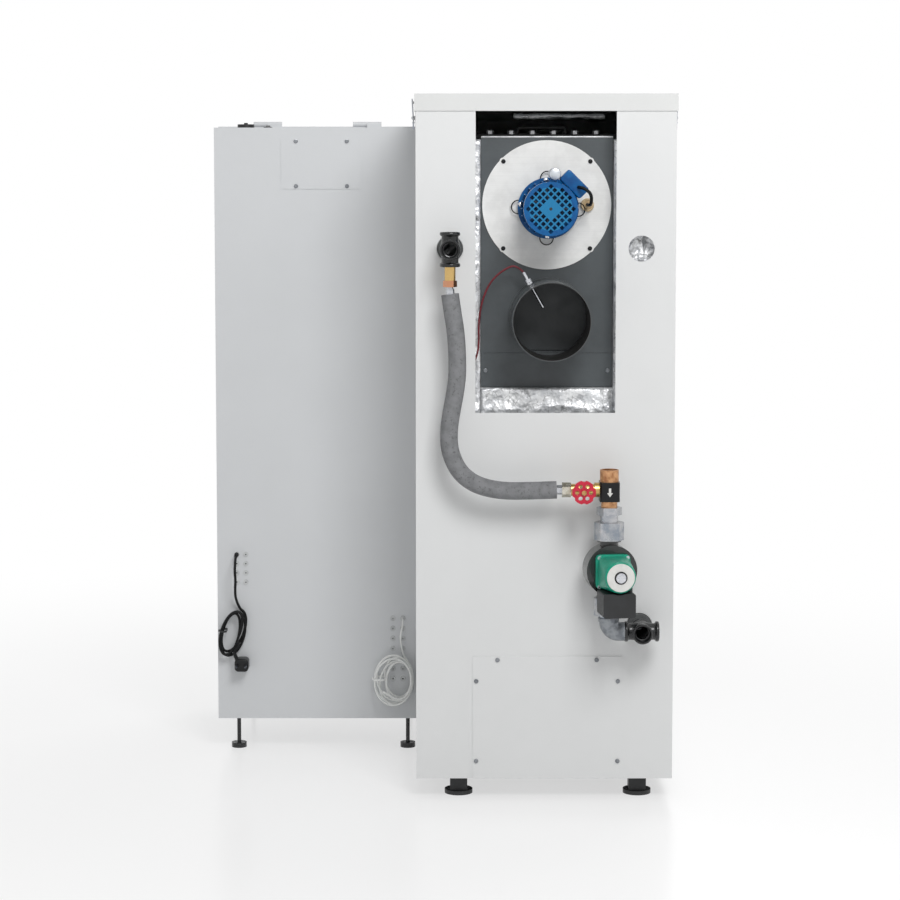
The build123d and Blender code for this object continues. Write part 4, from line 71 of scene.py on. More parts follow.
def srgb(red: float, green: float, blue: float) -> Colour:
    """Linear colour of an sRGB colour given from 0 to 255."""
    values = np.array((red, green, blue)) / 255.0
    linear = np.where(values <= 0.04045, values / 12.92, ((values + 0.055) / 1.055) ** 2.4)
    return tuple(float(v) for v in linear)


class Axis(Enum):
    """The axis that a turned or extruded shape follows, with the two axes across it."""

    X = (0, 1, 2)
    Y = (1, 2, 0)
    Z = (2, 0, 1)


# Noise worked out on arrays

HASH_PRIMES = np.array((374761393, 668265263, 2147483647))
HASH_STIR = 1274126177
HASH_MASK = 0xFFFF
CRUMPLE_OCTAVES = ((34.0, 0.55), (15.0, 0.3), (7.0, 0.15))
CRUMPLE_WARP = 6.0


def lattice_noise(points: np.ndarray, cell: float, seed: int) -> np.ndarray:
    """Smooth noise from -1 to 1: random values on a cubic lattice, blended by a cubic ease.

    Args:
        points: Array (..., 3) of positions.
        cell: Edge of one lattice cell, in the points' unit.
        seed: Number that picks the pattern.

    Returns:
        Array of the leading shape with one value for each point.
    """
    scaled = np.asarray(points, float) / cell
    base = np.floor(scaled).astype(np.int64)
    part = scaled - base
    ease = part * part * (3.0 - 2.0 * part)

    def corner(step: tuple[int, int, int]) -> np.ndarray:
        """Hashed value in -1 to 1 at one corner of each point's cell."""
        code = ((base + np.array(step)) * HASH_PRIMES).sum(axis=-1) + seed * HASH_STIR
        code = (code ^ (code >> 13)) * HASH_STIR
        return ((code ^ (code >> 16)) & HASH_MASK) / (HASH_MASK / 2) - 1.0

    total = np.zeros(scaled.shape[:-1])
    for step in ((0, 0, 0), (1, 0, 0), (0, 1, 0), (0, 0, 1), (1, 1, 0), (1, 0, 1), (0, 1, 1), (1, 1, 1)):
        weight = np.ones(scaled.shape[:-1])
        for axis in range(3):
            weight = weight * (ease[..., axis] if step[axis] else 1.0 - ease[..., axis])
        total += weight * corner(step)
    return total


def crumple(points: np.ndarray, seed: int) -> np.ndarray:
    """Crumpled height from 0 to 1: ridges where three octaves of lattice noise cross zero."""
    height = np.zeros(points.shape[:-1])
    for cell, share in CRUMPLE_OCTAVES:
        warp = points + CRUMPLE_WARP * lattice_noise(points, 2 * cell, seed + 7)[..., None]
        height += share * (1.0 - np.abs(lattice_noise(warp, cell, seed + int(cell))))
    return height


# Surfaces worked out on arrays


def turned(profile: Sequence[tuple[float, float]], place: Point, axis: Axis, sides: int = 64) -> np.ndarray:
    """Surface of revolution: each (radius, along) of the profile is carried round the axis.

    Args:
        profile: Pairs of radius and distance along the axis from the place.
        place: Point on the axis, in millimetres.
        axis: Axis of the turning.
        sides: Columns round the axis.

    Returns:
        Grid (profile rows, sides, 3); its columns close on themselves.
    """
    rows = np.array(profile, float)
    angle = np.linspace(0.0, 2 * np.pi, sides, endpoint=False)
    along, first, second = axis.value
    grid = np.zeros((len(rows), sides, 3))
    grid[..., along] = rows[:, 1:2]
    grid[..., first] = rows[:, :1] * np.cos(angle)
    grid[..., second] = rows[:, :1] * np.sin(angle)
    return grid + np.array(place)


def rounded_loop(half_a: float, half_b: float, radius: float, corner: int = 8) -> np.ndarray:
    """Outline of a rectangle with quarter-circle corners, as (4 * (corner + 1), 2)."""
    radius = min(radius, half_a, half_b)
    arc = np.linspace(0.0, np.pi / 2, corner + 1)
    quarter = np.arange(4)[:, None] * np.pi / 2
    centre_a = np.array((1, -1, -1, 1))[:, None] * (half_a - radius)
    centre_b = np.array((1, 1, -1, -1))[:, None] * (half_b - radius)
    a = centre_a + radius * np.cos(arc + quarter)
    b = centre_b + radius * np.sin(arc + quarter)
    return np.stack((a.ravel(), b.ravel()), axis=-1)


def pillow_rings(
    half_a: float, half_b: float, radius: float, low: float, high: float, edge: float, corner: int = 8
) -> list[tuple[np.ndarray, float]]:
    """Loops of a block with rounded edges: insets follow a quarter circle at both ends."""
    turn = np.linspace(0.0, np.pi / 2, 5)
    rise = edge * (1 - np.cos(turn))
    heights = np.concatenate((low + rise, high - rise[::-1]))
    insets = edge * (1 - np.sin(np.concatenate((turn, turn[::-1]))))
    return [
        (rounded_loop(half_a - inset, half_b - inset, radius, corner), height)
        for inset, height in zip(insets, heights)
    ]


def lofted(rings: Sequence[tuple[np.ndarray, float]], place: Point, axis: Axis) -> np.ndarray:
    """Grid of loops, each at its own distance along the axis from the place."""
    along, first, second = axis.value
    grid = np.zeros((len(rings), len(rings[0][0]), 3))
    grid[..., along] = np.array([height for _, height in rings])[:, None]
    loops = np.stack([loop for loop, _ in rings])
    grid[..., first] = loops[..., 0]
    grid[..., second] = loops[..., 1]
    return grid + np.array(place)


def tube(path: np.ndarray, radius: Union[float, np.ndarray], sides: int = 20) -> np.ndarray:
    """Circle carried along a path, in the plane across the path's tangent.

    Args:
        path: Array (rows, 3) of the centre line.
        radius: Radius, or one radius for each row.
        sides: Columns round the line.

    Returns:
        Grid (rows, sides, 3); its columns close on themselves.
    """
    path = np.asarray(path, float)
    tangent = np.gradient(path, axis=0)
    tangent /= np.linalg.norm(tangent, axis=1, keepdims=True)
    hint = np.array((0.03, 1.0, 0.05)) if abs(tangent[:, 1]).max() < 0.9 else np.array((1.0, 0.02, 0.04))
    across = np.cross(tangent, hint)
    across /= np.linalg.norm(across, axis=1, keepdims=True)
    upward = np.cross(across, tangent)
    angle = np.linspace(0.0, 2 * np.pi, sides, endpoint=False)
    reach = np.broadcast_to(np.asarray(radius, float), (len(path),))[:, None, None]
    cosine, sine = np.cos(angle)[None, :, None], np.sin(angle)[None, :, None]
    return path[:, None] + reach * (across[:, None] * cosine + upward[:, None] * sine)


def ring_path(centre: Point, radius: float, axis: Axis, count: int = 48) -> np.ndarray:
    """Closed circle of points across an axis."""
    angle = np.linspace(0.0, 2 * np.pi, count, endpoint=False)
    _, first, second = axis.value
    points = np.tile(np.array(centre, float), (count, 1))
    points[:, first] += radius * np.cos(angle)
    points[:, second] += radius * np.sin(angle)
    return points


class Shape:
    """A mesh under construction, in boiler millimetres."""

    def __init__(self, name: str) -> None:
        """Starts an empty shape with the name that its piece gets."""
        self.name = name
        self.points: list[np.ndarray] = []
        self.faces: list[Sequence[int]] = []
        self.count = 0

    def grid(
        self, points: np.ndarray, close_rows: bool = False, close_columns: bool = True, caps: bool = True
    ) -> "Shape":
        """Adds a grid of points as quads.

        Args:
            points: Array (rows, columns, 3) in millimetres.
            close_rows: Joins the last row to the first.
            close_columns: Joins the last column to the first.
            caps: Fills the first and last row, where the columns close and the rows do not.

        Returns:
            The shape itself.
        """
        rows, columns = points.shape[:2]
        index = np.arange(rows * columns).reshape(rows, columns) + self.count
        low, high = index[0].tolist(), index[-1].tolist()
        if close_rows:
            index = np.vstack((index, index[:1]))
        if close_columns:
            index = np.hstack((index, index[:, :1]))
        quads = np.stack((index[:-1, :-1], index[:-1, 1:], index[1:, 1:], index[1:, :-1]), axis=-1)
        self.faces.extend(quads.reshape(-1, 4).tolist())
        if caps and close_columns and not close_rows:
            self.faces.append(low[::-1])
            self.faces.append(high)
        self.points.append(points.reshape(-1, 3))
        self.count += rows * columns
        return self

    def piece(
        self, finish: "Finish", slot: str, body: str = ROOT, replaces: Sequence[str] = (), sharp: float = 35.0
    ) -> bpy.types.Object:
        """Makes the object, faces outwards, and gives it its finish and body.

        Args:
            finish: The finish that dresses it.
            slot: The record's material slot; not used.
            body: The body that it moves with.
            replaces: CAD nodes that it stands for.
            sharp: Angle in degrees past which an edge stays crisp.

        Returns:
            The new object.
        """
        mesh = bpy.data.meshes.new(self.name)
        mesh.from_pydata(to_row(np.concatenate(self.points)).tolist(), [], self.faces)
        work = bmesh.new()
        work.from_mesh(mesh)
        bmesh.ops.recalc_face_normals(work, faces=work.faces)
        work.to_mesh(mesh)
        work.free()
        mesh.polygons.foreach_set("use_smooth", np.ones(len(mesh.polygons), bool))
        mesh.set_sharp_from_angle(angle=math.radians(sharp))
        mesh.update()
        made = bpy.data.objects.new(self.name, mesh)
        bpy.context.scene.collection.objects.link(made)
        mesh.materials.append(finish.material())
        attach(made, body)
        if replaces:
            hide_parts(*replaces)
        LOG.info("piece %s: %d faces", self.name, len(mesh.polygons))
        return made


# Shader building


class Value:
    """A number socket; arithmetic on it adds Math nodes."""

    def __init__(self, web: "Web", socket: bpy.types.NodeSocket) -> None:
        """Wraps a socket of one node web."""
        self.web = web
        self.socket = socket

    def _math(self, operation: str, *inputs: Union["Value", float]) -> "Value":
        """One Math node with the given inputs in order."""
        node = self.web.node("ShaderNodeMath", {"operation": operation}, {i: v for i, v in enumerate(inputs)})
        return Value(self.web, node.outputs[0])

    def __add__(self, other: Union["Value", float]) -> "Value":
        """Sum."""
        return self._math("ADD", self, other)

    __radd__ = __add__

    def __sub__(self, other: Union["Value", float]) -> "Value":
        """Difference."""
        return self._math("SUBTRACT", self, other)

    def __rsub__(self, other: float) -> "Value":
        """Difference from a number."""
        return self._math("SUBTRACT", other, self)

    def __mul__(self, other: Union["Value", float]) -> "Value":
        """Product."""
        return self._math("MULTIPLY", self, other)

    __rmul__ = __mul__

    def root(self) -> "Value":
        """Square root."""
        return self._math("SQRT", self)

    def step(self, low: float, high: float) -> "Value":
        """Smooth ramp from 0 at low to 1 at high."""
        node = self.web.node(
            "ShaderNodeMapRange",
            {"interpolation_type": "SMOOTHSTEP"},
            {"Value": self, "From Min": low, "From Max": high},
        )
        return Value(self.web, node.outputs["Result"])


class Web:
    """The node web of one material."""

    def __init__(self, name: str) -> None:
        """Starts a material with an output and nothing else."""
        self.made = bpy.data.materials.new(name)
        self.made.use_nodes = True
        self.tree = self.made.node_tree
        self.tree.nodes.clear()
        self.coordinates = self.node("ShaderNodeTexCoord").outputs["Object"]

    def node(
        self, kind: str, settings: Optional[dict] = None, sockets: Optional[dict] = None
    ) -> bpy.types.Node:
        """Adds one node.

        Args:
            kind: The node's type.
            settings: Properties, set before its sockets.
            sockets: Values or links by socket name or number.

        Returns:
            The node.
        """
        made = self.tree.nodes.new(kind)
        for key, setting in (settings or {}).items():
            setattr(made, key, setting)
        for key, content in (sockets or {}).items():
            socket = made.inputs[key]
            if isinstance(content, Value):
                self.tree.links.new(content.socket, socket)
            elif isinstance(content, bpy.types.NodeSocket):
                self.tree.links.new(content, socket)
            elif socket.type == "RGBA" and len(content) == 3:
                socket.default_value = (*content, 1.0)
            else:
                socket.default_value = content
        return made

    def axis(self, name: str) -> Value:
        """One coordinate of the object's own space, in metres."""
        node = self.node("ShaderNodeSeparateXYZ", None, {0: self.coordinates})
        return Value(self, node.outputs[name])

    def place(self, name: str, millimetres: float) -> Value:
        """Distance in metres past a place given in boiler millimetres on one axis."""
        shift = ROW_SHIFT["XYZ".index(name)]
        return self.axis(name) - (millimetres + shift) / 1000.0

    def around(self, centre: tuple[float, float]) -> Value:
        """Distance in metres from a line along Y through a place given in millimetres."""
        across, height = self.place("X", centre[0]), self.place("Z", centre[1])
        return (across * across + height * height).root()

    def stretched(self, scale: Point) -> bpy.types.NodeSocket:
        """Object coordinates multiplied on each axis."""
        sockets = {"Vector": self.coordinates, "Scale": scale}
        return self.node("ShaderNodeMapping", {"vector_type": "POINT"}, sockets).outputs[0]

    def noise(
        self, scale: float, detail: float = 2.0, rough: float = 0.5, stretch: Optional[Point] = None
    ) -> Value:
        """Noise from 0 to 1, with its scale per metre, drawn out where stretch is given."""
        vector = self.stretched(stretch) if stretch else self.coordinates
        node = self.node(
            "ShaderNodeTexNoise", None,
            {"Vector": vector, "Scale": scale, "Detail": detail, "Roughness": rough},
        )
        return Value(self, node.outputs["Fac"])

    def cells(self, scale: float, feature: str = "F1") -> Value:
        """Distance to the nearest cell point or edge, with its scale per metre."""
        sockets = {"Vector": self.coordinates, "Scale": scale}
        node = self.node("ShaderNodeTexVoronoi", {"feature": feature}, sockets)
        return Value(self, node.outputs["Distance"])

    def mix(self, share: Value, low: object, high: object) -> bpy.types.NodeSocket:
        """Colour between low and high."""
        node = self.node("ShaderNodeMix", {"data_type": "RGBA"}, {0: share, 6: low, 7: high})
        return node.outputs[2]

    def bump(self, height: Value) -> bpy.types.NodeSocket:
        """Normal bent by a height in metres."""
        node = self.node("ShaderNodeBump", None, {"Height": height, "Distance": 1.0, "Strength": 1.0})
        return node.outputs[0]

    def close(self, **sockets: object) -> bpy.types.Material:
        """Ends the web in a principled surface with the given sockets."""
        named = {key.replace("_", " "): content for key, content in sockets.items()}
        surface = self.node("ShaderNodeBsdfPrincipled", None, named)
        self.node("ShaderNodeOutputMaterial", None, {"Surface": surface.outputs[0]})
        return self.made


MADE: dict[str, bpy.types.Material] = {}


@dataclass(frozen=True)
class Finish:
    """A painted, moulded or metal surface with mottling, fine grain and worn roughness.

    colour and second are mixed by broad noise; speckle darkens tiny spots; grain and ripple are
    the depths in metres of the fine and the broad relief.
    """

    name: str
    colour: Colour
    second: Optional[Colour] = None
    roughness: float = 0.45
    spread: float = 0.08
    metallic: float = 0.0
    mottle: float = 9.0
    grain: float = 0.00004
    grain_scale: float = 900.0
    ripple: float = 0.0
    ripple_scale: float = 60.0
    speckle: float = 0.0
    coat: float = 0.0
    specular: float = 0.5

    def material(self) -> bpy.types.Material:
        """The finish's material, made once."""
        if self.name not in MADE:
            MADE[self.name] = self.make(Web(self.name))
        return MADE[self.name]

    def base(self, web: Web) -> bpy.types.NodeSocket:
        """Colour over the surface: two tones by broad noise, darkened by small spots."""
        second = self.second or tuple(0.9 * c for c in self.colour)
        broad = web.noise(self.mottle, 4.0, 0.6).step(0.35, 0.72)
        tone = web.mix(broad, self.colour, second)
        if self.speckle:
            spots = web.noise(self.grain_scale * 0.4, 2.0, 0.7).step(0.58, 0.7) * self.speckle
            tone = web.mix(spots, tone, tuple(0.4 * c for c in second))
        return tone

    def relief(self, web: Web) -> bpy.types.NodeSocket:
        """Fine grain over a broad ripple."""
        fine = web.noise(self.grain_scale, 3.0, 0.6)
        height = fine * self.grain
        if self.ripple:
            height = height + web.noise(self.ripple_scale, 2.0, 0.5) * self.ripple
        return web.bump(height)

    def worn(self, web: Web) -> Value:
        """Roughness that varies a little with smears and grain."""
        smear = web.noise(self.mottle * 2.3, 3.0, 0.6)
        return (smear - 0.5) * (2 * self.spread) + self.roughness

    def make(self, web: Web) -> bpy.types.Material:
        """Builds the material."""
        return web.close(
            Base_Color=self.base(web),
            Roughness=self.worn(web),
            Metallic=self.metallic,
            Coat_Weight=self.coat,
            Specular_IOR_Level=self.specular,
            Normal=self.relief(web),
        )


@dataclass(frozen=True)
class ZonedFinish(Finish):
    """A finish that takes another colour past one or more places along an axis.

    zones holds (axis, place in millimetres, colour past it).
    """

    zones: tuple[tuple[str, float, Colour], ...] = ()

    def base(self, web: Web) -> bpy.types.NodeSocket:
        """Two tones by broad noise, then each zone's colour past its place."""
        tone = super().base(web)
        for axis, millimetres, colour in self.zones:
            past = web.place(axis, millimetres).step(-0.0002, 0.0002)
            tone = web.mix(past, tone, colour)
        return tone


@dataclass(frozen=True)
class DiscFinish(ZonedFinish):
    """A zoned finish that takes another colour within a reach in metres of a line along Y."""

    centre: tuple[float, float] = (0.0, 0.0)
    reach: float = 0.1
    inner: Colour = (0.02, 0.02, 0.02)

    def base(self, web: Web) -> bpy.types.NodeSocket:
        """The zones, then the inner colour near the line."""
        tone = super().base(web)
        outside = web.around(self.centre).step(self.reach - 0.0003, self.reach + 0.0003)
        return web.mix(1 - outside, tone, self.inner)


@dataclass(frozen=True)
class FoilFinish(Finish):
    """Crinkled bright foil: facets between creases, with painted shade as darker lines along the creases."""

    facet: float = 55.0

    def make(self, web: Web) -> bpy.types.Material:
        """Facets are Voronoi cells warped by noise; creases are darkened with painted shade and the facets
        tilt.
        """
        large = web.cells(self.facet, "F1")
        small = web.cells(self.facet * 2.7, "F1")
        crease = web.cells(self.facet * 0.9, "DISTANCE_TO_EDGE").step(0.0, 0.05)
        fine = web.noise(260.0, 4.0, 0.7)
        height = large * 0.0026 + small * 0.0012 + fine * 0.0005
        patch = web.noise(38.0, 3.0, 0.65).step(0.38, 0.66)
        tone = web.mix(patch, self.colour, self.second or self.colour)
        # Painted shade along the crease lines, broken up by noise.
        shade = tuple(0.3 * c for c in self.colour)
        broken = web.noise(55.0, 2.0, 0.6).step(0.45, 0.6)
        tone = web.mix((1 - crease) * broken * 0.75, tone, shade)
        return web.close(
            Base_Color=tone,
            Roughness=web.noise(70.0, 2.0).step(0.2, 0.8) * 0.2 + self.roughness,
            Metallic=self.metallic,
            Normal=web.bump(height),
        )


@dataclass(frozen=True)
class BoreShadeFinish(Finish):
    """Heat-proof paint with painted shade inside the flue's bore: patchy near-black down to a depth on Y."""

    bore: float = 0.0736
    depth: float = 62.0
    centre: tuple[float, float] = (8.5, 939.0)

    def base(self, web: Web) -> bpy.types.NodeSocket:
        """Paint outside; inside the bore's radius about the flue's axis, patchy near-black painted shade."""
        tone = super().base(web)
        inside = 1 - web.around(self.centre).step(self.bore, self.bore + 0.0006)
        rear = 1 - web.place("Y", self.depth).step(0.0, 0.001)
        # Painted shade: near-black patches stand in for the dark inside the pipe.
        bore_shade = web.mix(web.noise(70.0, 4.0, 0.7).step(0.35, 0.7), (0.006, 0.006, 0.006), (0.03, 0.028, 0.026))
        return web.mix(inside * rear, tone, bore_shade)


@dataclass(frozen=True)
class BrushedFinish(Finish):
    """Sheet metal with fine straight rolling lines and faint smudges."""

    lines: Point = (6.0, 60.0, 900.0)

    def base(self, web: Web) -> bpy.types.NodeSocket:
        """Two tones by broad noise, crossed by rolling lines and finger smudges."""
        tone = super().base(web)
        line = web.noise(1.0, 3.0, 0.7, self.lines).step(0.3, 0.75)
        tone = web.mix(line * 0.18, tone, tuple(0.7 * c for c in self.colour))
        smudge = web.noise(26.0, 4.0, 0.7).step(0.6, 0.78)
        return web.mix(smudge * 0.28, tone, tuple(0.72 * c for c in self.colour))

    def relief(self, web: Web) -> bpy.types.NodeSocket:
        """Rolling lines a few micrometres deep."""
        return web.bump(web.noise(1.0, 3.0, 0.7, self.lines) * self.grain)


class Paints:
    """Every finish of the boiler, in one place."""

    casing = Finish(
        "casing powder coat", srgb(226, 227, 227), srgb(222, 223, 223), roughness=0.42, spread=0.04,
        mottle=2.2, grain=0.00003, grain_scale=1100.0, ripple=0.00008, ripple_scale=5.0,
    )
    hopper = Finish(
        "hopper powder coat", srgb(215, 217, 219), srgb(211, 213, 215), roughness=0.42, spread=0.04,
        mottle=2.2, grain=0.00003, grain_scale=1100.0, ripple=0.00008, ripple_scale=5.0,
    )
    lid = Finish(
        "lid powder coat", srgb(221, 222, 221), srgb(216, 217, 216), roughness=0.4, spread=0.05, mottle=3.0,
        grain=0.00003, grain_scale=1100.0,
    )
    vessel = Finish(
        "boiler plate primer", srgb(96, 98, 98), srgb(70, 72, 73), roughness=0.6, mottle=14.0, grain=0.00012,
        grain_scale=420.0, speckle=0.4,
    )
    hatch = ZonedFinish(
        "hatch plate primer", srgb(66, 68, 69), srgb(52, 54, 55), roughness=0.55, mottle=14.0, grain=0.00012,
        grain_scale=420.0, speckle=0.4, zones=(("Z", 1299.0, srgb(112, 114, 114)),),
    )
    zinc = Finish(
        "zinc plating", srgb(196, 198, 202), srgb(172, 176, 186), roughness=0.3, spread=0.12, metallic=0.85,
        mottle=60.0, grain=0.00003,
    )
    tinted_zinc = Finish(
        "passivated zinc", srgb(188, 188, 190), srgb(138, 146, 156), roughness=0.24, spread=0.1, metallic=0.9,
        mottle=42.0, grain=0.00003,
    )
    galvanised = Finish(
        "galvanised fitting", srgb(150, 154, 158), srgb(112, 116, 122), roughness=0.42, spread=0.15,
        metallic=0.75, mottle=70.0, grain=0.00014, grain_scale=320.0,
    )
    foil = FoilFinish(
        "crinkled foil", srgb(246, 247, 248), srgb(214, 216, 219), roughness=0.26, metallic=0.42,
    )
    smoke_box = Finish(
        "heat-proof paint", srgb(70, 76, 79), srgb(58, 63, 66), roughness=0.42, spread=0.1, mottle=12.0,
        grain=0.00005, grain_scale=700.0, ripple=0.0002, ripple_scale=9.0, specular=0.6,
    )
    # The flue's bore is darkened with painted shade.
    flue = BoreShadeFinish(
        "flue paint", srgb(72, 77, 79), srgb(56, 60, 62), roughness=0.36, spread=0.1, mottle=18.0,
        grain=0.00005, grain_scale=700.0, specular=0.6,
    )
    fan_plate = BrushedFinish(
        "rolled aluminium", srgb(238, 238, 236), srgb(226, 226, 224), roughness=0.4, metallic=0.12,
        mottle=30.0, grain=0.00002,
    )
    motor = Finish(
        "blue enamel", srgb(0, 92, 152), srgb(0, 70, 128), roughness=0.32, spread=0.08, mottle=50.0,
        grain=0.00005, grain_scale=600.0, coat=0.05, specular=0.3,
    )
    # The cowl's face within 41 mm of its axis takes a lighter blue as a painted highlight.
    cowl = DiscFinish(
        "blue cowl", srgb(0, 90, 150), srgb(0, 74, 132), roughness=0.32, mottle=60.0, grain=0.00004,
        coat=0.05, specular=0.3, centre=(6.0, 1152.0), reach=0.041, inner=srgb(28, 118, 166),
    )
    screws = DiscFinish(
        "screw steel", srgb(142, 145, 149), srgb(104, 108, 112), roughness=0.34, spread=0.1, metallic=0.6,
        mottle=60.0, grain=0.00003, zones=(("Z", 1289.0, srgb(226, 228, 230)),),
        centre=(3.5, 1158.0), reach=0.127, inner=srgb(24, 25, 27),
    )
    rotor = Finish(
        "machined shaft", srgb(90, 94, 100), srgb(60, 64, 70), roughness=0.35, metallic=0.8, mottle=80.0,
    )
    brass = Finish(
        "machined brass", srgb(206, 166, 112), srgb(166, 126, 80), roughness=0.3, spread=0.12, metallic=0.9,
        mottle=90.0, grain=0.00005, grain_scale=500.0,
    )
    bronze = Finish(
        "cast bronze", srgb(210, 162, 120), srgb(160, 112, 76), roughness=0.36, spread=0.14, metallic=0.85,
        mottle=110.0, grain=0.00016, grain_scale=350.0,
    )
    hose = ZonedFinish(
        "hose fittings", srgb(200, 202, 206), srgb(170, 172, 178), roughness=0.24, spread=0.08, metallic=0.92,
        mottle=80.0, grain=0.00003,
        zones=(("Z", 1003.5, srgb(196, 140, 108)), ("Z", 1016.3, srgb(204, 172, 112))),
    )
    valve = ZonedFinish(
        "valve brass", srgb(206, 202, 190), srgb(176, 170, 150), roughness=0.26, spread=0.1, metallic=0.9,
        mottle=90.0, grain=0.00005, zones=(("X", 47.0, srgb(198, 164, 104)),),
    )
    iron = Finish(
        "black malleable iron", srgb(30, 31, 33), srgb(18, 19, 20), roughness=0.27, spread=0.1, metallic=0.35,
        mottle=60.0, grain=0.00022, grain_scale=380.0, coat=0.35,
    )
    pump_iron = Finish(
        "coated casting", srgb(26, 30, 30), srgb(18, 20, 21), roughness=0.24, spread=0.08, mottle=70.0,
        grain=0.0003, grain_scale=260.0, coat=0.5,
    )
    pump_green = Finish(
        "green enamel", srgb(0, 156, 126), srgb(0, 134, 108), roughness=0.34, spread=0.06, mottle=40.0,
        grain=0.00016, grain_scale=300.0, coat=0.08, specular=0.3,
    )
    pump_disc = Finish(
        "pump face", srgb(226, 226, 222), srgb(214, 214, 210), roughness=0.36, mottle=60.0, grain=0.00003,
    )
    bright_edge = Finish(
        "bare folded edge", srgb(226, 228, 228), srgb(190, 192, 194), roughness=0.35, metallic=0.3,
        mottle=60.0,
    )
    chrome = Finish(
        "chromed screw", srgb(212, 214, 218), srgb(186, 188, 194), roughness=0.16, metallic=0.95,
        mottle=120.0,
    )
    black = Finish(
        "black moulding", srgb(34, 35, 37), srgb(26, 27, 28), roughness=0.48, spread=0.08, mottle=40.0,
        grain=0.00009, grain_scale=900.0,
    )
    gloss_black = Finish(
        "gloss black moulding", srgb(14, 16, 18), srgb(9, 10, 11), roughness=0.34, spread=0.06, mottle=40.0,
        grain=0.00003, grain_scale=700.0, coat=0.05, specular=0.3,
    )
    red = Finish(
        "red handwheel", srgb(206, 32, 62), srgb(184, 24, 52), roughness=0.34, spread=0.06, mottle=90.0,
        grain=0.00005,
    )
    sheath_black = Finish(
        "black sheath", srgb(15, 16, 17), srgb(9, 10, 11), roughness=0.5, mottle=60.0, grain=0.00004,
        grain_scale=1400.0, specular=0.22,
    )
    sheath_white = Finish(
        "pale sheath", srgb(247, 248, 246), srgb(234, 235, 233), roughness=0.46, mottle=60.0, grain=0.00004,
        grain_scale=1400.0,
    )
    sheath_red = Finish(
        "silicone sheath", srgb(116, 30, 42), srgb(92, 22, 32), roughness=0.5, mottle=80.0, grain=0.00004,
    )
    rubber = Finish(
        "pale grommet rubber", srgb(206, 208, 208), srgb(190, 192, 193), roughness=0.55, mottle=120.0,
        grain=0.00005,
    )
    foam = Finish(
        "closed-cell foam", srgb(134, 135, 137), srgb(118, 119, 121), roughness=0.78, spread=0.08,
        mottle=55.0,
        grain=0.0005, grain_scale=420.0, ripple=0.0012, ripple_scale=70.0, speckle=0.5, specular=0.3,
    )
    tan = Finish(
        "fibre bush", srgb(206, 184, 148), srgb(182, 158, 120), roughness=0.6, mottle=160.0, grain=0.0002,
        grain_scale=500.0,
    )
    capacitor = Finish(
        "capacitor can", srgb(208, 212, 216), srgb(186, 190, 196), roughness=0.3, metallic=0.5, mottle=90.0,
    )
    screen = Finish(
        "screen glass", srgb(18, 20, 24), srgb(12, 13, 16), roughness=0.08, spread=0.03, mottle=20.0,
        grain=0.000004, coat=1.0,
    )
    refractory = Finish(
        "burner steel", srgb(120, 116, 112), srgb(86, 82, 80), roughness=0.5, metallic=0.6, mottle=50.0,
        grain=0.0002, grain_scale=300.0,
    )


NODE_FINISHES: dict[str, Finish] = {
    "base_frame": Paints.vessel,
    "boiler_feet": Paints.black,
    "left_side_casing": Paints.casing,
    "right_side_casing": Paints.casing,
    "rear_casing": Paints.casing,
    "rear_access_cover": Paints.casing,
    "screws_and_nuts": Paints.screws,
    "front_casing": Paints.casing,
    "boiler_lid": Paints.lid,
    "left_latch_lever": Paints.zinc,
    "left_latch_bail": Paints.zinc,
    "right_latch_lever": Paints.zinc,
    "right_latch_bail": Paints.zinc,
    "heat_exchanger": Paints.vessel,
    "top_hatch": Paints.hatch,
    "turbulators": Paints.refractory,
    "smoke_box": Paints.smoke_box,
    "smoke_box_cover": Paints.smoke_box,
    "flue_pipe": Paints.flue,
    "fan_plate": Paints.fan_plate,
    "motor_stator": Paints.motor,
    "motor_cowl": Paints.cowl,
    "fan_rotor": Paints.rotor,
    "combustion_door": Paints.black,
    "ash_drawer": Paints.black,
    "control_unit": Paints.gloss_black,
    "burner": Paints.refractory,
    "bypass_hose": Paints.hose,
    "gate_valve_body": Paints.valve,
    "gate_valve_handwheel": Paints.red,
    "mixing_valve": Paints.bronze,
    "mixing_valve_cover": Paints.gloss_black,
    "union_nuts": Paints.tinted_zinc,
    "pump_volute": Paints.pump_iron,
    "pump_vent_screw": Paints.chrome,
    "pump_terminal_box": Paints.black,
    "return_elbow": Paints.galvanised,
    "hopper_casing": Paints.hopper,
    "hopper_lid": Paints.hopper,
    "hopper_bin": Paints.zinc,
    "auger_screw": Paints.zinc,
    "auger_gearmotor": Paints.black,
    "service_plate": Paints.hopper,
    "cable_grommets": Paints.rubber,
    "thermostat_cap": Paints.black,
    "main_switch_frame": Paints.black,
    "main_switch_rocker": Paints.black,
    "hopper_legs": Paints.iron,
}


def dress_nodes() -> None:
    """Gives every carried-over CAD node its finish through its own material slots."""
    for name, finish in NODE_FINISHES.items():
        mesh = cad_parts[name].data
        if not mesh.materials:
            mesh.materials.append(None)
        for index in range(len(mesh.materials)):
            mesh.materials[index] = finish.material()
        LOG.info("node %s: %s", name, finish.name)


# Cords


def spline_curve(name: str, route: np.ndarray, radius: float, facets: int) -> bpy.types.Object:
    """Round cord on one open NURBS spline whose control points are the route.

    Args:
        name: Name of the piece.
        route: Array (points, 3) in millimetres.
        radius: Cord radius in millimetres.
        facets: Bevel resolution of its section.

    Returns:
        The curve object, not yet on a body.
    """
    curve = bpy.data.curves.new(name, "CURVE")
    curve.dimensions = "3D"
    spline = curve.splines.new("NURBS")
    spline.points.add(len(route) - 1)
    points = np.hstack((to_row(route), np.ones((len(route), 1))))
    spline.points.foreach_set("co", points.ravel())
    spline.order_u = 3
    spline.use_endpoint_u = True
    spline.resolution_u = 10
    curve.bevel_depth = radius / 1000.0
    curve.bevel_resolution = facets
    curve.use_fill_caps = True
    made = bpy.data.objects.new(name, curve)
    bpy.context.scene.collection.objects.link(made)
    return made


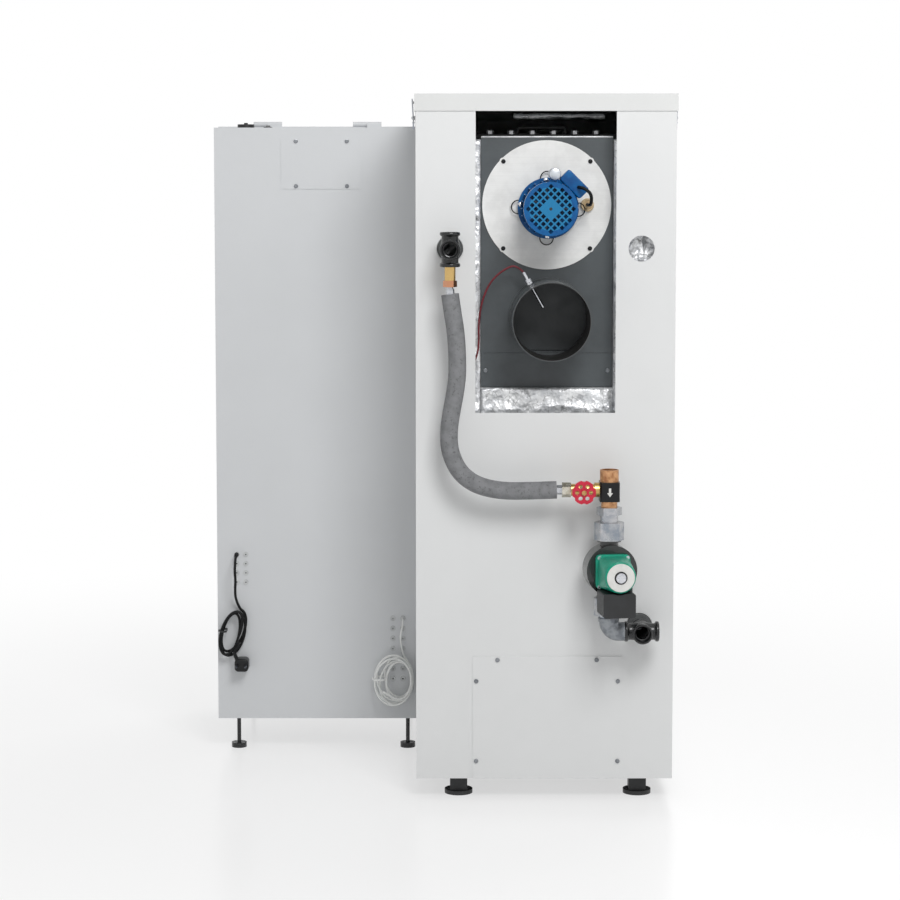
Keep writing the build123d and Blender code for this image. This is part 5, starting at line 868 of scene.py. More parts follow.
def curve_length(route: np.ndarray) -> float:
    """Length in metres of the quadratic B-spline on a route, from its middles and corners.

    Each inner corner P with the middles A and B of its runs carries the arc
    (1-t)^2 A + 2t(1-t) P + t^2 B, and the first and last arc start and end on the route.
    """
    corners = np.asarray(route, float)
    middles = (corners[1:] + corners[:-1]) / 2
    middles[0], middles[-1] = corners[0], corners[-1]
    t = np.linspace(0.0, 1.0, 33)[None, :, None]
    start, knee, end = middles[:-1, None], corners[1:-1, None], middles[1:, None]
    arcs = (1 - t) ** 2 * start + 2 * t * (1 - t) * knee + t**2 * end
    return float(np.linalg.norm(np.diff(arcs, axis=1), axis=2).sum() / 1000.0)


@dataclass
class Cord:
    """A cord on the main body: its route, section, finish and how it lies."""

    name: str
    route: np.ndarray
    radius: float
    finish: Finish
    slot: str
    far_end: str
    stiffness: str
    lay: str = "hanging"
    facets: int = 5
    stands_for: Sequence[str] = ()

    def build(self, carried: Sequence[bpy.types.Object] = ()) -> None:
        """Builds the cord, hides the nodes that it stands for and logs its length."""
        made = spline_curve(self.name, self.route, self.radius, self.facets)
        made.data.materials.append(self.finish.material())
        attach(made, ROOT)
        if self.stands_for:
            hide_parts(*self.stands_for)
        length = curve_length(self.route)
        LOG.info("cord %s: %.3f m", self.name, length)


@dataclass
class Hank:
    """Turns of a hanging hank, as more points of its cord's own spline.

    Angles run clockwise from the top as the rear camera sees it. Each turn is an ellipse about the
    centre, leaned by tilt. It shrinks by spread and its middle moves by shift, both in and out
    again with the waves, and y falls by pitch for each turn.
    """

    centre: tuple[float, float]
    half: tuple[float, float]
    spread: float
    shift: float
    tilt: float
    start: float
    turns: float
    start_y: float
    pitch: float
    waves: float
    steps: int = 16

    def points(self) -> np.ndarray:
        """Control points of the turns."""
        turned_by = np.linspace(0.0, 2 * np.pi * self.turns, int(round(self.turns * self.steps)) + 1)
        angle = math.radians(self.start) + turned_by
        inward = 0.5 - 0.5 * np.cos(self.waves * turned_by)
        swell = 1.0 / math.cos(np.pi / self.steps) ** 2
        across = (self.half[0] - self.spread * inward) * np.sin(angle) * swell + self.shift * inward
        height = (self.half[1] - self.spread * inward) * np.cos(angle) * swell
        lean = math.radians(self.tilt)
        x = self.centre[0] + across * math.cos(lean) + height * math.sin(lean)
        z = self.centre[1] - across * math.sin(lean) + height * math.cos(lean)
        y = self.start_y - self.pitch * turned_by / (2 * np.pi)
        return np.stack((x, y, z), axis=-1)


@dataclass
class Leads:
    """Mains lead and sensor lead, each hanging from its grommet in a tied hank."""

    rear: float = 392.0
    grommet: float = 1.5
    mains_radius: float = 2.8
    mains_exit: tuple[float, float] = (-633.0, 420.0)
    sensor_radius: float = 2.0
    sensor_exit: tuple[float, float] = (-283.5, 284.0)
    plug_left: float = -636.5
    plug_width: float = 29.0
    plug_top: float = 203.0
    plug_height: float = 27.0
    plug_rear: float = 391.7
    plug_depth: float = 34.0
    mains_tie: Point = (-660.0, 372.5, 262.0)
    mains_bundle: tuple[float, float] = (6.6, 16.0)
    sensor_tie: Point = (-333.0, 371.0, 160.0)
    sensor_bundle: tuple[float, float] = (11.0, 18.2)
    plug_edge: float = 3.0
    plug_corner: float = 8.0
    neck_radius: float = 4.5
    neck_lean: float = -22.0
    rib_pitch: float = 3.2
    rib_depth: float = 0.5
    pin_offset: float = 9.5
    relief_length: float = 22.0
    clear: float = 0.3

    def exit_points(self, place: tuple[float, float], step: float) -> list[Point]:
        """Straight out of the grommet and down in three equal turns."""
        x, z = place
        y = self.rear - self.grommet
        points = [(x, y, z)]
        for angle in (0.0, 30.0, 60.0):
            y -= step * math.cos(math.radians(angle))
            z -= step * math.sin(math.radians(angle))
            points.append((x, y, z))
        return points

    def mains_route(self) -> np.ndarray:
        """The part's own points down to the hank, then the hank's turns and the plug's neck."""
        x, z = self.mains_exit
        route = self.exit_points(self.mains_exit, 21.0)
        route += [
            (x + 1.0, self.rear - 46.0, z - 46.0),
            (x - 1.0, self.rear - 34.0, z - 70.0),
            (x - 1.5, self.rear - 20.0, z - 90.0),
        ]
        hank = Hank(
            centre=(-640.0, 256.0), half=(24.4, 49.2), spread=8.5, shift=-6.0, tilt=17.0, start=-4.0,
            turns=3.3, start_y=self.rear - self.clear - 2 * self.mains_radius, pitch=7.2, waves=0.72,
        )
        neck = [
            (-626.0, 362.4, 231.5), (-634.0, 362.3, 223.5), (-637.8, 362.2, 217.4), (-634.6, 362.2, 209.5),
        ]
        return np.vstack((route, hank.points(), neck))

    def sensor_route(self) -> np.ndarray:
        """The part's own points down to the hank, then its turns."""
        x, z = self.sensor_exit
        route = self.exit_points(self.sensor_exit, 4.0 * self.sensor_radius)
        route += [
            (x - 3.0, self.rear - 21.0, z - 24.0),
            (x - 5.0, self.rear - 15.0, z - 40.0),
            (x - 3.0, self.rear - 9.0, z - 58.0),
        ]
        hank = Hank(
            centre=(-302.5, 157.0), half=(39.8, 52.2), spread=15.0, shift=11.0, tilt=0.0, start=30.0,
            turns=7.52, start_y=self.rear - self.grommet - self.clear - 2 * self.sensor_radius,
            pitch=4.2, waves=0.61,
        )
        return np.vstack((route, hank.points()))

    def plug(self) -> bpy.types.Object:
        """Angled moulded plug: rounded body and ribbed neck."""
        shape = Shape("mains_plug_body")
        middle = (
            self.plug_left + self.plug_width / 2,
            self.plug_rear - self.plug_depth / 2,
            self.plug_top - self.plug_height / 2,
        )
        rings = pillow_rings(
            self.plug_height / 2, self.plug_width / 2, self.plug_corner,
            -self.plug_depth / 2, self.plug_depth / 2, self.plug_edge,
        )
        shape.grid(lofted(rings, middle, Axis.Y))
        lean = math.radians(self.neck_lean)
        direction = np.array((math.sin(lean), 0.0, math.cos(lean)))
        face = self.plug_rear - self.plug_depth
        base = np.array((self.plug_left + self.neck_radius, face + self.neck_radius, self.plug_top))
        along = np.linspace(-4.0, 15.5, 40)
        grooves = self.rib_depth * (np.cos(along * 2 * np.pi / self.rib_pitch) > 0.35)
        taper = 0.04 * np.maximum(along, 0)
        shape.grid(tube(base + along[:, None] * direction, 4.45 - grooves - taper, 24))
        return shape.piece(Paints.gloss_black, "black_plastic", replaces=["mains_plug"])

    def pins(self) -> bpy.types.Object:
        """Two plug pins with domed ends."""
        shape = Shape("mains_plug_pins")
        middle = self.plug_left + self.plug_width / 2
        height = self.plug_top - self.plug_height / 2
        profile = [(0.05, -18.9), (1.3, -18.6), (2.1, -17.6), (2.38, -16.0), (2.38, 1.0), (0.05, 1.2)]
        for side in (-1, 1):
            place = (middle + side * self.pin_offset, self.plug_rear - self.plug_depth, height)
            shape.grid(turned(profile, place, Axis.Y, 24))
        return shape.piece(Paints.rotor, "zinc_steel")

    def tie(
        self, name: str, centre: Point, half: tuple[float, float], finish: Finish, slot: str
    ) -> bpy.types.Object:
        """Flat cable tie round a bundle: a rounded loop with a thin wide section, and its head."""
        rims = []
        for inset, corner in ((0.0, 4.0), (0.9, 4.5)):
            loop = rounded_loop(half[0] + inset, half[1] + inset, corner, 8)
            rims.append(np.column_stack((loop, np.zeros(len(loop)))) + np.array(centre))
        lift = np.array((0.0, 0.0, 1.8))
        grid = np.stack((rims[0] - lift, rims[1] - lift, rims[1] + lift, rims[0] + lift))
        shape = Shape(name)
        shape.grid(grid, close_rows=True)
        head = pillow_rings(2.2, 2.6, 0.8, -2.0, 2.0, 0.5, 4)
        shape.grid(lofted(head, (centre[0] - half[0] - 2.0, centre[1] - 2.0, centre[2]), Axis.Z))
        return shape.piece(finish, slot)

    def relief(self) -> bpy.types.Object:
        """Tapered strain relief where the mains lead leaves its grommet."""
        x, z = self.mains_exit
        y = self.rear - self.grommet
        along = np.linspace(0.0, self.relief_length, 45)
        grooves = 0.35 * (np.cos(along * 2 * np.pi / 3.4) > 0.4)
        radius = 4.8 - 1.6 * along / self.relief_length - grooves
        path = np.column_stack((np.full(45, x), y - along, z - 0.0035 * along**2))
        shape = Shape("mains_strain_relief").grid(tube(path, radius, 28))
        return shape.piece(Paints.sheath_black, "black_sheath")

    def build(self) -> None:
        """Builds both leads with what hangs on them."""
        plug, pins = self.plug(), self.pins()
        tie = self.tie("mains_lead_tie", self.mains_tie, self.mains_bundle, Paints.black, "black_plastic")
        Cord(
            "mains_lead", self.mains_route(), self.mains_radius, Paints.sheath_black, "black_sheath",
            far_end="plug", stiffness="medium", lay="coiled", stands_for=("mains_cord", "mains_cord_hank"),
        ).build([plug, pins, tie, self.relief()])
        route = self.sensor_route()
        white = Paints.sheath_white
        tie = self.tie("sensor_lead_tie", self.sensor_tie, self.sensor_bundle, white, "white_sheath")
        Cord(
            "sensor_lead", route, self.sensor_radius, white, "white_sheath", far_end="fitting",
            stiffness="limp", lay="coiled", stands_for=("sensor_cord", "sensor_cord_hank"),
        ).build([self.tip(route), tie])

    @staticmethod
    def tip(route: np.ndarray) -> bpy.types.Object:
        """Sleeved end of the sensor lead."""
        direction = route[-1] - route[-2]
        direction /= np.linalg.norm(direction)
        along = np.array((-1.0, 0.0, 0.6, 17.0, 18.2, 18.6))
        radius = np.array((0.1, 2.2, 2.4, 2.4, 1.9, 0.1))
        shape = Shape("sensor_tip").grid(tube(route[-1] + along[:, None] * direction, radius, 24))
        return shape.piece(Paints.sheath_white, "white_sheath")


# Inside the rear opening


def closed_slab(shape: Shape, near: np.ndarray, far: np.ndarray) -> None:
    """Adds two open grids, the second one turned over, and the rim that joins their borders."""
    shape.grid(near, close_columns=False, caps=False)
    shape.grid(far[:, ::-1], close_columns=False, caps=False)
    rims = [
        np.concatenate((layer[0, :-1], layer[:-1, -1], layer[-1, :0:-1], layer[:0:-1, 0]))
        for layer in (near, far)
    ]
    shape.grid(np.stack(rims), caps=False)


@dataclass
class Crumple:
    """How a slab is crumpled: its grid step, its depth and its seed."""

    step: float
    depth: float
    seed: int


@dataclass
class Blanket:
    """Foil-faced insulation round the vessel, crumpled where it shows round the smoke box."""

    half: float = 246.6
    inner: float = 216.0
    rear: float = 27.0
    vessel_rear: float = 134.0
    bottom: float = 82.0
    top: float = 1284.0
    smoke_left: float = -125.2
    smoke_right: float = 133.2
    smoke_bottom: float = 802.5
    front: float = 844.0

    def slab(
        self, shape: Shape, x: tuple[float, float], y: tuple[float, float], z: tuple[float, float],
        folds: Crumple,
    ) -> None:
        """One slab as a wrapped grid: front face, rim and rear face of a box with soft edges.

        The face toward -Y is lowered by depth times (1 - crumple), fading to a rolled edge.
        """
        columns = max(3, int((x[1] - x[0]) / folds.step))
        rows = max(3, int((z[1] - z[0]) / folds.step))
        u = np.linspace(x[0], x[1], columns)
        w = np.linspace(z[0], z[1], rows)
        grid_x, grid_z = np.meshgrid(u, w)
        face = np.stack((grid_x, np.full_like(grid_x, y[0]), grid_z), axis=-1)
        edge = np.minimum.reduce((grid_x - x[0], x[1] - grid_x, grid_z - z[0], z[1] - grid_z))
        roll = np.clip(1.0 - edge / 6.0, 0.0, 1.0) ** 2
        face[..., 1] += folds.depth * (1.0 - crumple(face, folds.seed)) * 1.4 + 3.0 * roll
        face[..., 1] = np.minimum(face[..., 1], y[1] - 1.0)
        back = np.stack((grid_x, np.full_like(grid_x, y[1]), grid_z), axis=-1)
        closed_slab(shape, face, back)

    def build(self) -> None:
        """Rear slabs in fine crumples, and plainer slabs along the sides and front."""
        shape = Shape("insulation_blanket")
        rear = (self.rear, self.vessel_rear - 2.0)
        height = (self.bottom, self.top)
        self.slab(shape, (-self.half, self.smoke_left), rear, height, Crumple(4.5, 9.0, 3))
        self.slab(shape, (self.smoke_right, self.half), rear, height, Crumple(4.5, 9.0, 5))
        middle = (self.smoke_left + 0.6, self.smoke_right - 0.6)
        self.slab(shape, middle, rear, (self.bottom, self.smoke_bottom), Crumple(4.5, 10.0, 9))
        beside = (self.vessel_rear + 2.0, self.front)
        self.slab(shape, (-self.half, -self.inner), beside, height, Crumple(16.0, 3.0, 11))
        self.slab(shape, (self.inner, self.half), beside, height, Crumple(16.0, 3.0, 11))
        self.slab(shape, (-214.0, 214.0), (794.0, self.front), (790.0, 1140.0), Crumple(16.0, 3.0, 13))
        work = shape.piece(Paints.foil, "foil_wool", replaces=["body_insulation"], sharp=60.0)
        merge(work, 0.0002)

    def wisps(self) -> None:
        """Crumpled foil edge that hangs in the dark gap above the smoke box."""
        u = np.linspace(-58.0, 122.0, 110)
        w = np.linspace(0.0, 1.0, 9)
        grid_x, grid_w = np.meshgrid(u, w)
        flat = np.stack((grid_x, 40.0 * grid_w, np.zeros_like(grid_x)), axis=-1)
        bite = 4.0 + 8.0 * crumple(flat, 21)
        top = np.stack((grid_x, 160.0 + 60.0 * grid_w, 1335.0 + 2.5 * crumple(flat, 4)), axis=-1)
        low = top.copy()
        low[..., 2] = top[..., 2] - bite * (0.55 + 0.45 * np.cos(grid_w * np.pi) ** 2)
        shape = Shape("lid_foil")
        closed_slab(shape, top, low)
        merge(shape.piece(Paints.foil, "foil_wool", body="boiler_lid", sharp=60.0), 0.0001)


def merge(made: bpy.types.Object, distance: float) -> None:
    """Welds a mesh's doubled points and turns its faces outward."""
    work = bmesh.new()
    work.from_mesh(made.data)
    bmesh.ops.remove_doubles(work, verts=work.verts, dist=distance)
    bmesh.ops.recalc_face_normals(work, faces=work.faces)
    work.to_mesh(made.data)
    work.free()


@dataclass
class FluePart:
    """Probe in the flue's wall with its red lead, and two screws that show inside the mouth."""

    x: float = 8.5
    z: float = 939.0
    y: float = 15.0
    angle: float = 119.5
    screw_places: Sequence[tuple[float, float]] = ((-31.0, 903.0), (29.0, 903.0))
    screw_depth: float = 118.0

    def along(self, reach: Union[float, np.ndarray]) -> np.ndarray:
        """Points on the probe's line at distances from the flue's axis."""
        turn = math.radians(self.angle)
        reach = np.asarray(reach, float)
        level = np.full_like(reach, self.y)
        return np.stack((self.x + reach * math.cos(turn), level, self.z + reach * math.sin(turn)), axis=-1)

    def build(self) -> None:
        """Builds the probe, its gland, its lead and the screws."""
        rod = Shape("flue_probe_rod")
        reach = np.array((24.0, 24.4, 25.5, 60.0, 76.2, 103.0, 103.8, 104.0))
        radius = np.array((0.1, 2.2, 3.0, 3.0, 3.0, 3.0, 2.4, 0.1))
        rod.grid(tube(self.along(reach), radius, 24))
        rod.piece(Paints.chrome, "zinc_steel", replaces=["flue_probe"])
        nut = Shape("flue_probe_gland")
        reach = np.array((76.4, 76.5, 77.2, 81.0, 81.2, 81.4, 87.4, 88.2, 88.3))
        radius = np.array((0.1, 5.9, 6.5, 6.5, 4.2, 6.3, 6.3, 5.6, 0.1))
        nut.grid(tube(self.along(reach), radius, 24))
        nut.piece(Paints.chrome, "zinc_steel")
        route = [(-60.6, 1042.6), (-76.3, 1036.0), (-93.0, 1024.0), (-106.9, 1008.5), (-117.0, 988.0)]
        route += [(-125.0, 962.0), (-129.0, 927.0), (-128.0, 889.0), (-133.0, 862.0), (-146.0, 842.0)]
        starts = self.along(np.array((101.0, 107.0)))
        path = np.vstack((starts, [(x, self.y, z) for x, z in route]))
        Cord(
            "flue_probe_lead", path, 2.0, Paints.sheath_red, "red_sheath", far_end="object", stiffness="limp"
        ).build()
        screws = Shape("flue_mouth_screws")
        profile = [(0.05, -3.2), (2.4, -3.0), (4.3, -1.8), (4.6, 0.0), (4.6, 1.5), (0.05, 1.6)]
        for x, z in self.screw_places:
            screws.grid(turned(profile, (x, self.screw_depth, z), Axis.Y, 24))
        screws.piece(Paints.chrome, "zinc_steel")


@dataclass
class FanMotor:
    """Electrics, clips and screws of the flue fan's motor."""

    x: float = 6.0
    z: float = 1152.0
    box_reach: float = 65.8
    box_angle: float = 45.0
    can_reach: float = 66.3
    can_angle: float = 82.0
    lead_reach: float = 67.5
    lead_angle: float = 37.0
    lead_front: float = -38.5
    bush: tuple[float, float] = (82.0, 1158.0)
    clip_reach: float = 58.0
    clip_angles: Sequence[float] = (92.0, 178.0, 267.0, 357.0)
    lug_reach: float = 54.5
    lug_angles: Sequence[float] = (95.0, 172.0, 268.0, 2.0)

    def about(self, radius: float, degrees: float) -> tuple[float, float]:
        """Place at a radius and angle about the motor's axis."""
        turn = math.radians(degrees)
        return self.x + radius * math.cos(turn), self.z + radius * math.sin(turn)

    def terminal_box(self) -> None:
        """Blue terminal box, set aslant on the motor's side."""
        box = Shape("motor_terminal_box")
        grid = lofted(pillow_rings(13.2, 27.2, 4.0, -39.5, -0.4, 2.0), (0.0, 0.0, 0.0), Axis.Y)
        turn = math.radians(self.box_angle)
        cross, along, radial = grid[..., 0], grid[..., 1], grid[..., 2] + self.box_reach
        x = self.x + radial * math.cos(turn) - cross * math.sin(turn)
        z = self.z + radial * math.sin(turn) + cross * math.cos(turn)
        box.grid(np.stack((x, along, z), axis=-1))
        box.piece(Paints.motor, "motor_blue", replaces=["motor_electrics"])

    def build(self) -> None:
        """Builds the small pieces round the motor."""
        self.terminal_box()
        cx, cz = self.about(self.can_reach, self.can_angle)
        can = Shape("motor_capacitor")
        profile = [
            (0.05, -46.0), (8.8, -45.9), (10.6, -45.2), (11.6, -43.6), (11.9, -41.0), (11.9, -1.2),
            (11.0, -0.2), (0.05, 0.0),
        ]
        can.grid(turned(profile, (cx, 0.0, cz), Axis.Y, 40))
        can.piece(Paints.capacitor, "light_grey_rubber")
        bush = Shape("fan_plate_bush")
        profile = [
            (0.05, 43.1), (4.2, 43.1), (5.0, 44.6), (6.4, 43.6), (7.6, 45.0), (9.2, 43.6), (11.6, 43.4),
            (12.9, 45.4), (13.0, 52.0), (0.05, 52.0),
        ]
        bush.grid(turned(profile, (self.bush[0], 0.0, self.bush[1]), Axis.Y, 40))
        bush.piece(Paints.tan, "light_grey_rubber")
        front = self.lead_front
        sx, sz = self.about(self.lead_reach, self.lead_angle)
        route = np.array((
            (sx, front, sz), (sx + 2, front - 11, sz), (sx + 12, front - 19, sz - 3),
            (sx + 23, front - 17, sz - 12), (85.0, front - 6, sz - 25), (84.0, front + 12, 1159.0),
            (82.0, front + 34, 1158.0), (82.0, 43.0, 1159.0),
        ))
        Cord(
            "fan_motor_lead", route, 3.2, Paints.sheath_black, "black_sheath", far_end="object",
            stiffness="medium",
        ).build()
        clips = Shape("motor_clips")
        for degrees in self.clip_angles:
            px, pz = self.about(self.clip_reach, degrees)
            path = ring_path((px, 44.0, pz), 13.0, Axis.Y, 48)
            closed = np.vstack((path, path[:1]))
            clips.grid(tube(closed, 1.1, 10)[:-1], close_rows=True)
        clips.piece(Paints.sheath_black, "black_sheath")
        screws = Shape("motor_lug_screws")
        profile = [(0.05, 34.2), (2.6, 34.4), (4.3, 35.6), (4.6, 37.0), (4.6, 38.4), (0.05, 38.6)]
        for degrees in self.lug_angles:
            px, pz = self.about(self.lug_reach, degrees)
            screws.grid(turned(profile, (px, 0.0, pz), Axis.Y, 24))
        screws.piece(Paints.chrome, "zinc_steel")
        hub = Shape("cowl_hub")
        profile = [(0.05, -84.6), (2.6, -84.5), (3.2, -83.8), (3.2, -83.0), (0.05, -82.9)]
        hub.grid(turned(profile, (self.x, 0.0, self.z), Axis.Y, 24))
        hub.piece(Paints.black, "motor_blue")


# Pipework


@dataclass
class Cross:
    """Malleable iron cross: a bored pipe along Y and two arms across it, with rolled threaded mouths.

    side is the axis of the two arms. The pipe's +Y end is a smooth socket over its stub.
    """

    name: str
    node: str
    centre: Point
    side: Axis
    reach: float = 33.0
    waist: float = 16.1
    stub_waist: float = 17.7
    mouth: float = 19.4
    bore: float = 12.4
    stub: float = 16.9
    thread: float = 15.1
    thread_depth: float = 15.0
    pitch: float = 2.3

    def outside(self, waist: float) -> list[tuple[float, float]]:
        """Outer half profile, from the bulged middle to the rolled mouth."""
        bulge = [
            (waist + 2.2, 0.0), (waist + 2.0, 6.0), (waist + 1.0, 12.0), (waist + 0.2, 16.0), (waist, 20.0),
        ]
        end = self.reach
        rim = [
            (waist, end - 9.4), (waist + 0.5, end - 7.6),
            (self.mouth - 0.9, end - 6.6), (self.mouth, end - 5.4),
            (self.mouth + 0.1, end - 2.6), (self.mouth - 0.3, end - 0.9), (self.mouth - 1.3, end),
        ]
        return bulge + rim

    def threaded(self) -> list[tuple[float, float]]:
        """Inner half profile, from the threaded mouth to the bore."""
        rows = [(self.thread + 0.7, self.reach), (self.thread, self.reach - 1.0)]
        depth = 1.6
        while depth < self.thread_depth:
            end = self.reach - depth
            rows += [(self.thread - 1.15, end - 0.5 * self.pitch), (self.thread, end - self.pitch)]
            depth += self.pitch
        return rows + [(self.bore, self.reach - depth - 1.0)]

    def build(self) -> None:
        """Builds the pipe and both arms in one piece."""
        shape = Shape(self.name)
        near = [(radius, -along) for radius, along in self.outside(self.waist)[::-1]]
        near_inner = [(radius, -along) for radius, along in self.threaded()[::-1]]
        socket = [(self.stub, self.reach), (self.stub, self.reach - 17.6), (self.bore, self.reach - 18.4)]
        pipe = near + self.outside(self.stub_waist)[1:] + socket + near_inner
        shape.grid(turned(pipe, self.centre, Axis.Y, 96), close_rows=True)
        along, first, second = self.side.value
        third = first if second == 1 else second
        profile = self.outside(self.waist) + self.threaded() + [(self.bore, 0.0)]
        for toward in (-1, 1):
            arm = turned(profile, (0.0, 0.0, 0.0), self.side, 96)
            saddle = np.sqrt(np.clip((self.waist - 1.6) ** 2 - arm[..., third] ** 2, 0.0, None))
            arm[..., along] = toward * np.maximum(arm[..., along], saddle)
            shape.grid(arm + np.array(self.centre), close_rows=True)
        made = shape.piece(Paints.iron, "black_iron", replaces=[self.node])
        merge(made, 0.00001)


@dataclass
class PumpSet:
    """Pump motor casting, face disc, valve arrow and foam sleeve."""

    centre: Point = (120.5, -58.0, 464.0)
    turn: float = 8.0

    def placed(self, local: np.ndarray) -> np.ndarray:
        """Local pump points, turned about Z and moved to the pump's centre."""
        angle = math.radians(self.turn)
        x = local[..., 0] * math.cos(angle) - local[..., 1] * math.sin(angle)
        y = local[..., 0] * math.sin(angle) + local[..., 1] * math.cos(angle)
        return np.stack((x, y, local[..., 2]), axis=-1) + np.array(self.centre)

    def motor(self) -> None:
        """Casting that tapers from a square flange to a round face.

        Each ring is a superellipse |a|^n + |b|^n = r^n, whose power n falls from the flange's
        square to the face's circle.
        """
        shape = Shape("pump_motor_casting")
        profile = [
            (-30.2, 32.0, 9.0), (-30.6, 32.8, 9.0), (-41.2, 33.0, 9.0), (-42.0, 32.4, 8.0),
            (-42.4, 30.8, 6.0), (-48.0, 31.2, 5.0), (-60.0, 31.0, 4.0), (-74.0, 30.7, 3.2),
            (-88.0, 30.4, 2.6), (-100.0, 30.2, 2.2), (-106.5, 29.8, 2.0), (-109.2, 28.8, 2.0),
            (-110.0, 27.4, 2.0), (-110.0, 5.0, 2.0),
        ]
        angle = np.linspace(0.0, 2 * np.pi, 96, endpoint=False)
        rows = np.array(profile)
        power = rows[:, 2:3]
        reach = (np.abs(np.cos(angle)) ** power + np.abs(np.sin(angle)) ** power) ** (-1 / power)
        radius = rows[:, 1:2] * reach
        local = np.stack(
            (radius * np.cos(angle), np.broadcast_to(rows[:, :1], radius.shape), radius * np.sin(angle)),
            axis=-1,
        )
        shape.grid(self.placed(local))
        shape.piece(Paints.pump_green, "pump_green", replaces=["pump_motor"])
        disc = Shape("pump_face_disc")
        profile = [
            (4.2, -109.8), (25.8, -109.8), (26.6, -110.4), (26.6, -111.5), (26.0, -112.0), (10.6, -112.0),
            (10.2, -111.6), (4.2, -111.6),
        ]
        disc.grid(self.placed(turned(profile, (0.0, 0.0, 0.0), Axis.Y, 64)), close_rows=True)
        disc.piece(Paints.pump_disc, "pump_green")
        ring = Shape("pump_vent_ring")
        profile = [
            (9.9, -111.2), (9.9, -112.4), (10.4, -112.8), (11.8, -112.8), (12.3, -112.4), (12.3, -111.2),
        ]
        ring.grid(self.placed(turned(profile, (0.0, 0.0, 0.0), Axis.Y, 64)), close_rows=True)
        ring.piece(Paints.gloss_black, "black_plastic")
        screws = Shape("pump_flange_screws")
        for a in (-1, 1):
            for b in (-1, 1):
                head = [
                    (0.05, -45.2), (1.6, -45.2), (1.7, -44.0), (2.9, -44.0), (3.0, -45.0), (3.4, -44.6),
                    (3.4, -41.8), (0.05, -41.6),
                ]
                screws.grid(self.placed(turned(head, (27.5 * a, 0.0, 27.5 * b), Axis.Y, 24)))
        screws.piece(Paints.chrome, "zinc_steel")

    def arrow(self) -> None:
        """Plain flow arrow on the valve's cover."""
        outline = np.array((
            (-2.2, 8.0), (2.2, 8.0), (2.2, -1.0), (5.4, -1.0), (0.0, -9.0), (-5.4, -1.0), (-2.2, -1.0),
        ))
        rings = [(np.column_stack((outline[:, 1], outline[:, 0])), depth) for depth in (0.02, -0.18)]
        grid = lofted(rings, (120.5, -80.0, 613.5), Axis.Y)
        Shape("flow_arrow").grid(grid).piece(Paints.pump_disc, "light_grey_rubber")

    def sleeve(self) -> None:
        """Foam sleeve on the bypass hose's own route."""
        route = np.array((
            (-184.0, -58.0, 990.0), (-180.0, -58.0, 960.0), (-172.0, -58.0, 912.0), (-169.2, -58.0, 842.0),
            (-174.0, -58.0, 803.0), (-181.2, -58.0, 766.0), (-186.6, -58.0, 729.0), (-185.0, -58.0, 690.0),
            (-168.0, -58.0, 652.0), (-142.4, -58.0, 630.0), (-113.0, -58.0, 619.0), (-76.5, -58.0, 613.5),
            (-24.0, -58.0, 614.5), (19.8, -58.0, 616.0),
        ))
        Cord(
            "foam_sleeve", route, 17.0, Paints.foam, "grey_foam", far_end="object", stiffness="stiff",
            facets=10, stands_for=("hose_insulation",),
        ).build()

    def build(self) -> None:
        """Builds the pipework's pieces."""
        self.motor()
        self.arrow()
        self.sleeve()


# Small parts and front


@dataclass
class SmallParts:
    """Folded edge above the smoke box and the handwheel's nut."""

    edge_x: tuple[float, float] = (-123.6, 131.6)
    edge_y: tuple[float, float] = (54.0, 60.0)
    edge_z: tuple[float, float] = (1288.0, 1291.0)
    wheel: Point = (70.0, -105.0, 616.0)

    def build(self) -> None:
        """Builds both pieces."""
        middle = (0.0, sum(self.edge_y) / 2, sum(self.edge_z) / 2)
        half = ((self.edge_y[1] - self.edge_y[0]) / 2, (self.edge_z[1] - self.edge_z[0]) / 2)
        rings = pillow_rings(half[0], half[1], 0.8, self.edge_x[0], self.edge_x[1], 0.4, 3)
        edge = Shape("smoke_box_top_edge").grid(lofted(rings, middle, Axis.X))
        edge.piece(Paints.bright_edge, "zinc_steel")
        nut = [(0.05, -3.4), (2.4, -3.4), (2.5, -2.8), (4.4, -2.8), (5.1, -2.3), (5.2, 0.4), (0.05, 0.5)]
        shape = Shape("handwheel_nut").grid(turned(nut, self.wheel, Axis.Y, 6))
        shape.piece(Paints.brass, "brass", body="gate_valve_handwheel")


@dataclass
class FrontPanel:
    """Dark screen of the control unit."""

    half: float = 65.6
    low: float = 1174.4
    high: float = 1245.6
    face: float = 866.2

    def build(self) -> None:
        """Glass with rounded corners in the unit's recess."""
        middle = (0.0, self.face, (self.low + self.high) / 2)
        rings = pillow_rings((self.high - self.low) / 2, self.half, 3.0, 0.0, 1.6, 0.5)
        Shape("control_screen").grid(lofted(rings, middle, Axis.Y)).piece(Paints.screen, "screen_plastic")


# Studio


@dataclass
class Lamp:
    """Square area lamp: place and target in row metres, side in metres, power in watts."""

    name: str
    place: Point
    target: Point
    side: float
    power: float

    def build(self) -> None:
        """Adds the lamp, turned to its target."""
        light = bpy.data.lights.new(self.name, "AREA")
        light.shape = "SQUARE"
        light.size = self.side
        light.energy = self.power
        made = bpy.data.objects.new(self.name, light)
        direction = np.array(self.target) - np.array(self.place)
        length = float(np.linalg.norm(direction))
        yaw = math.atan2(direction[1], direction[0]) - math.pi / 2
        pitch = math.acos(-direction[2] / length)
        made.rotation_euler = (pitch, 0.0, yaw)
        made.location = self.place
        bpy.context.scene.collection.objects.link(made)


SEEN_RAYS = ("Is Camera Ray", "Is Glossy Ray", "Is Transmission Ray")
LAMPS = (
    Lamp("high key", (0.72, -2.7, 2.75), (0.05, -0.1, 1.05), side=1.1, power=52.0),
    Lamp("front fill", (1.6, 3.4, 2.8), (0.0, 0.2, 0.7), side=2.6, power=60.0),
)


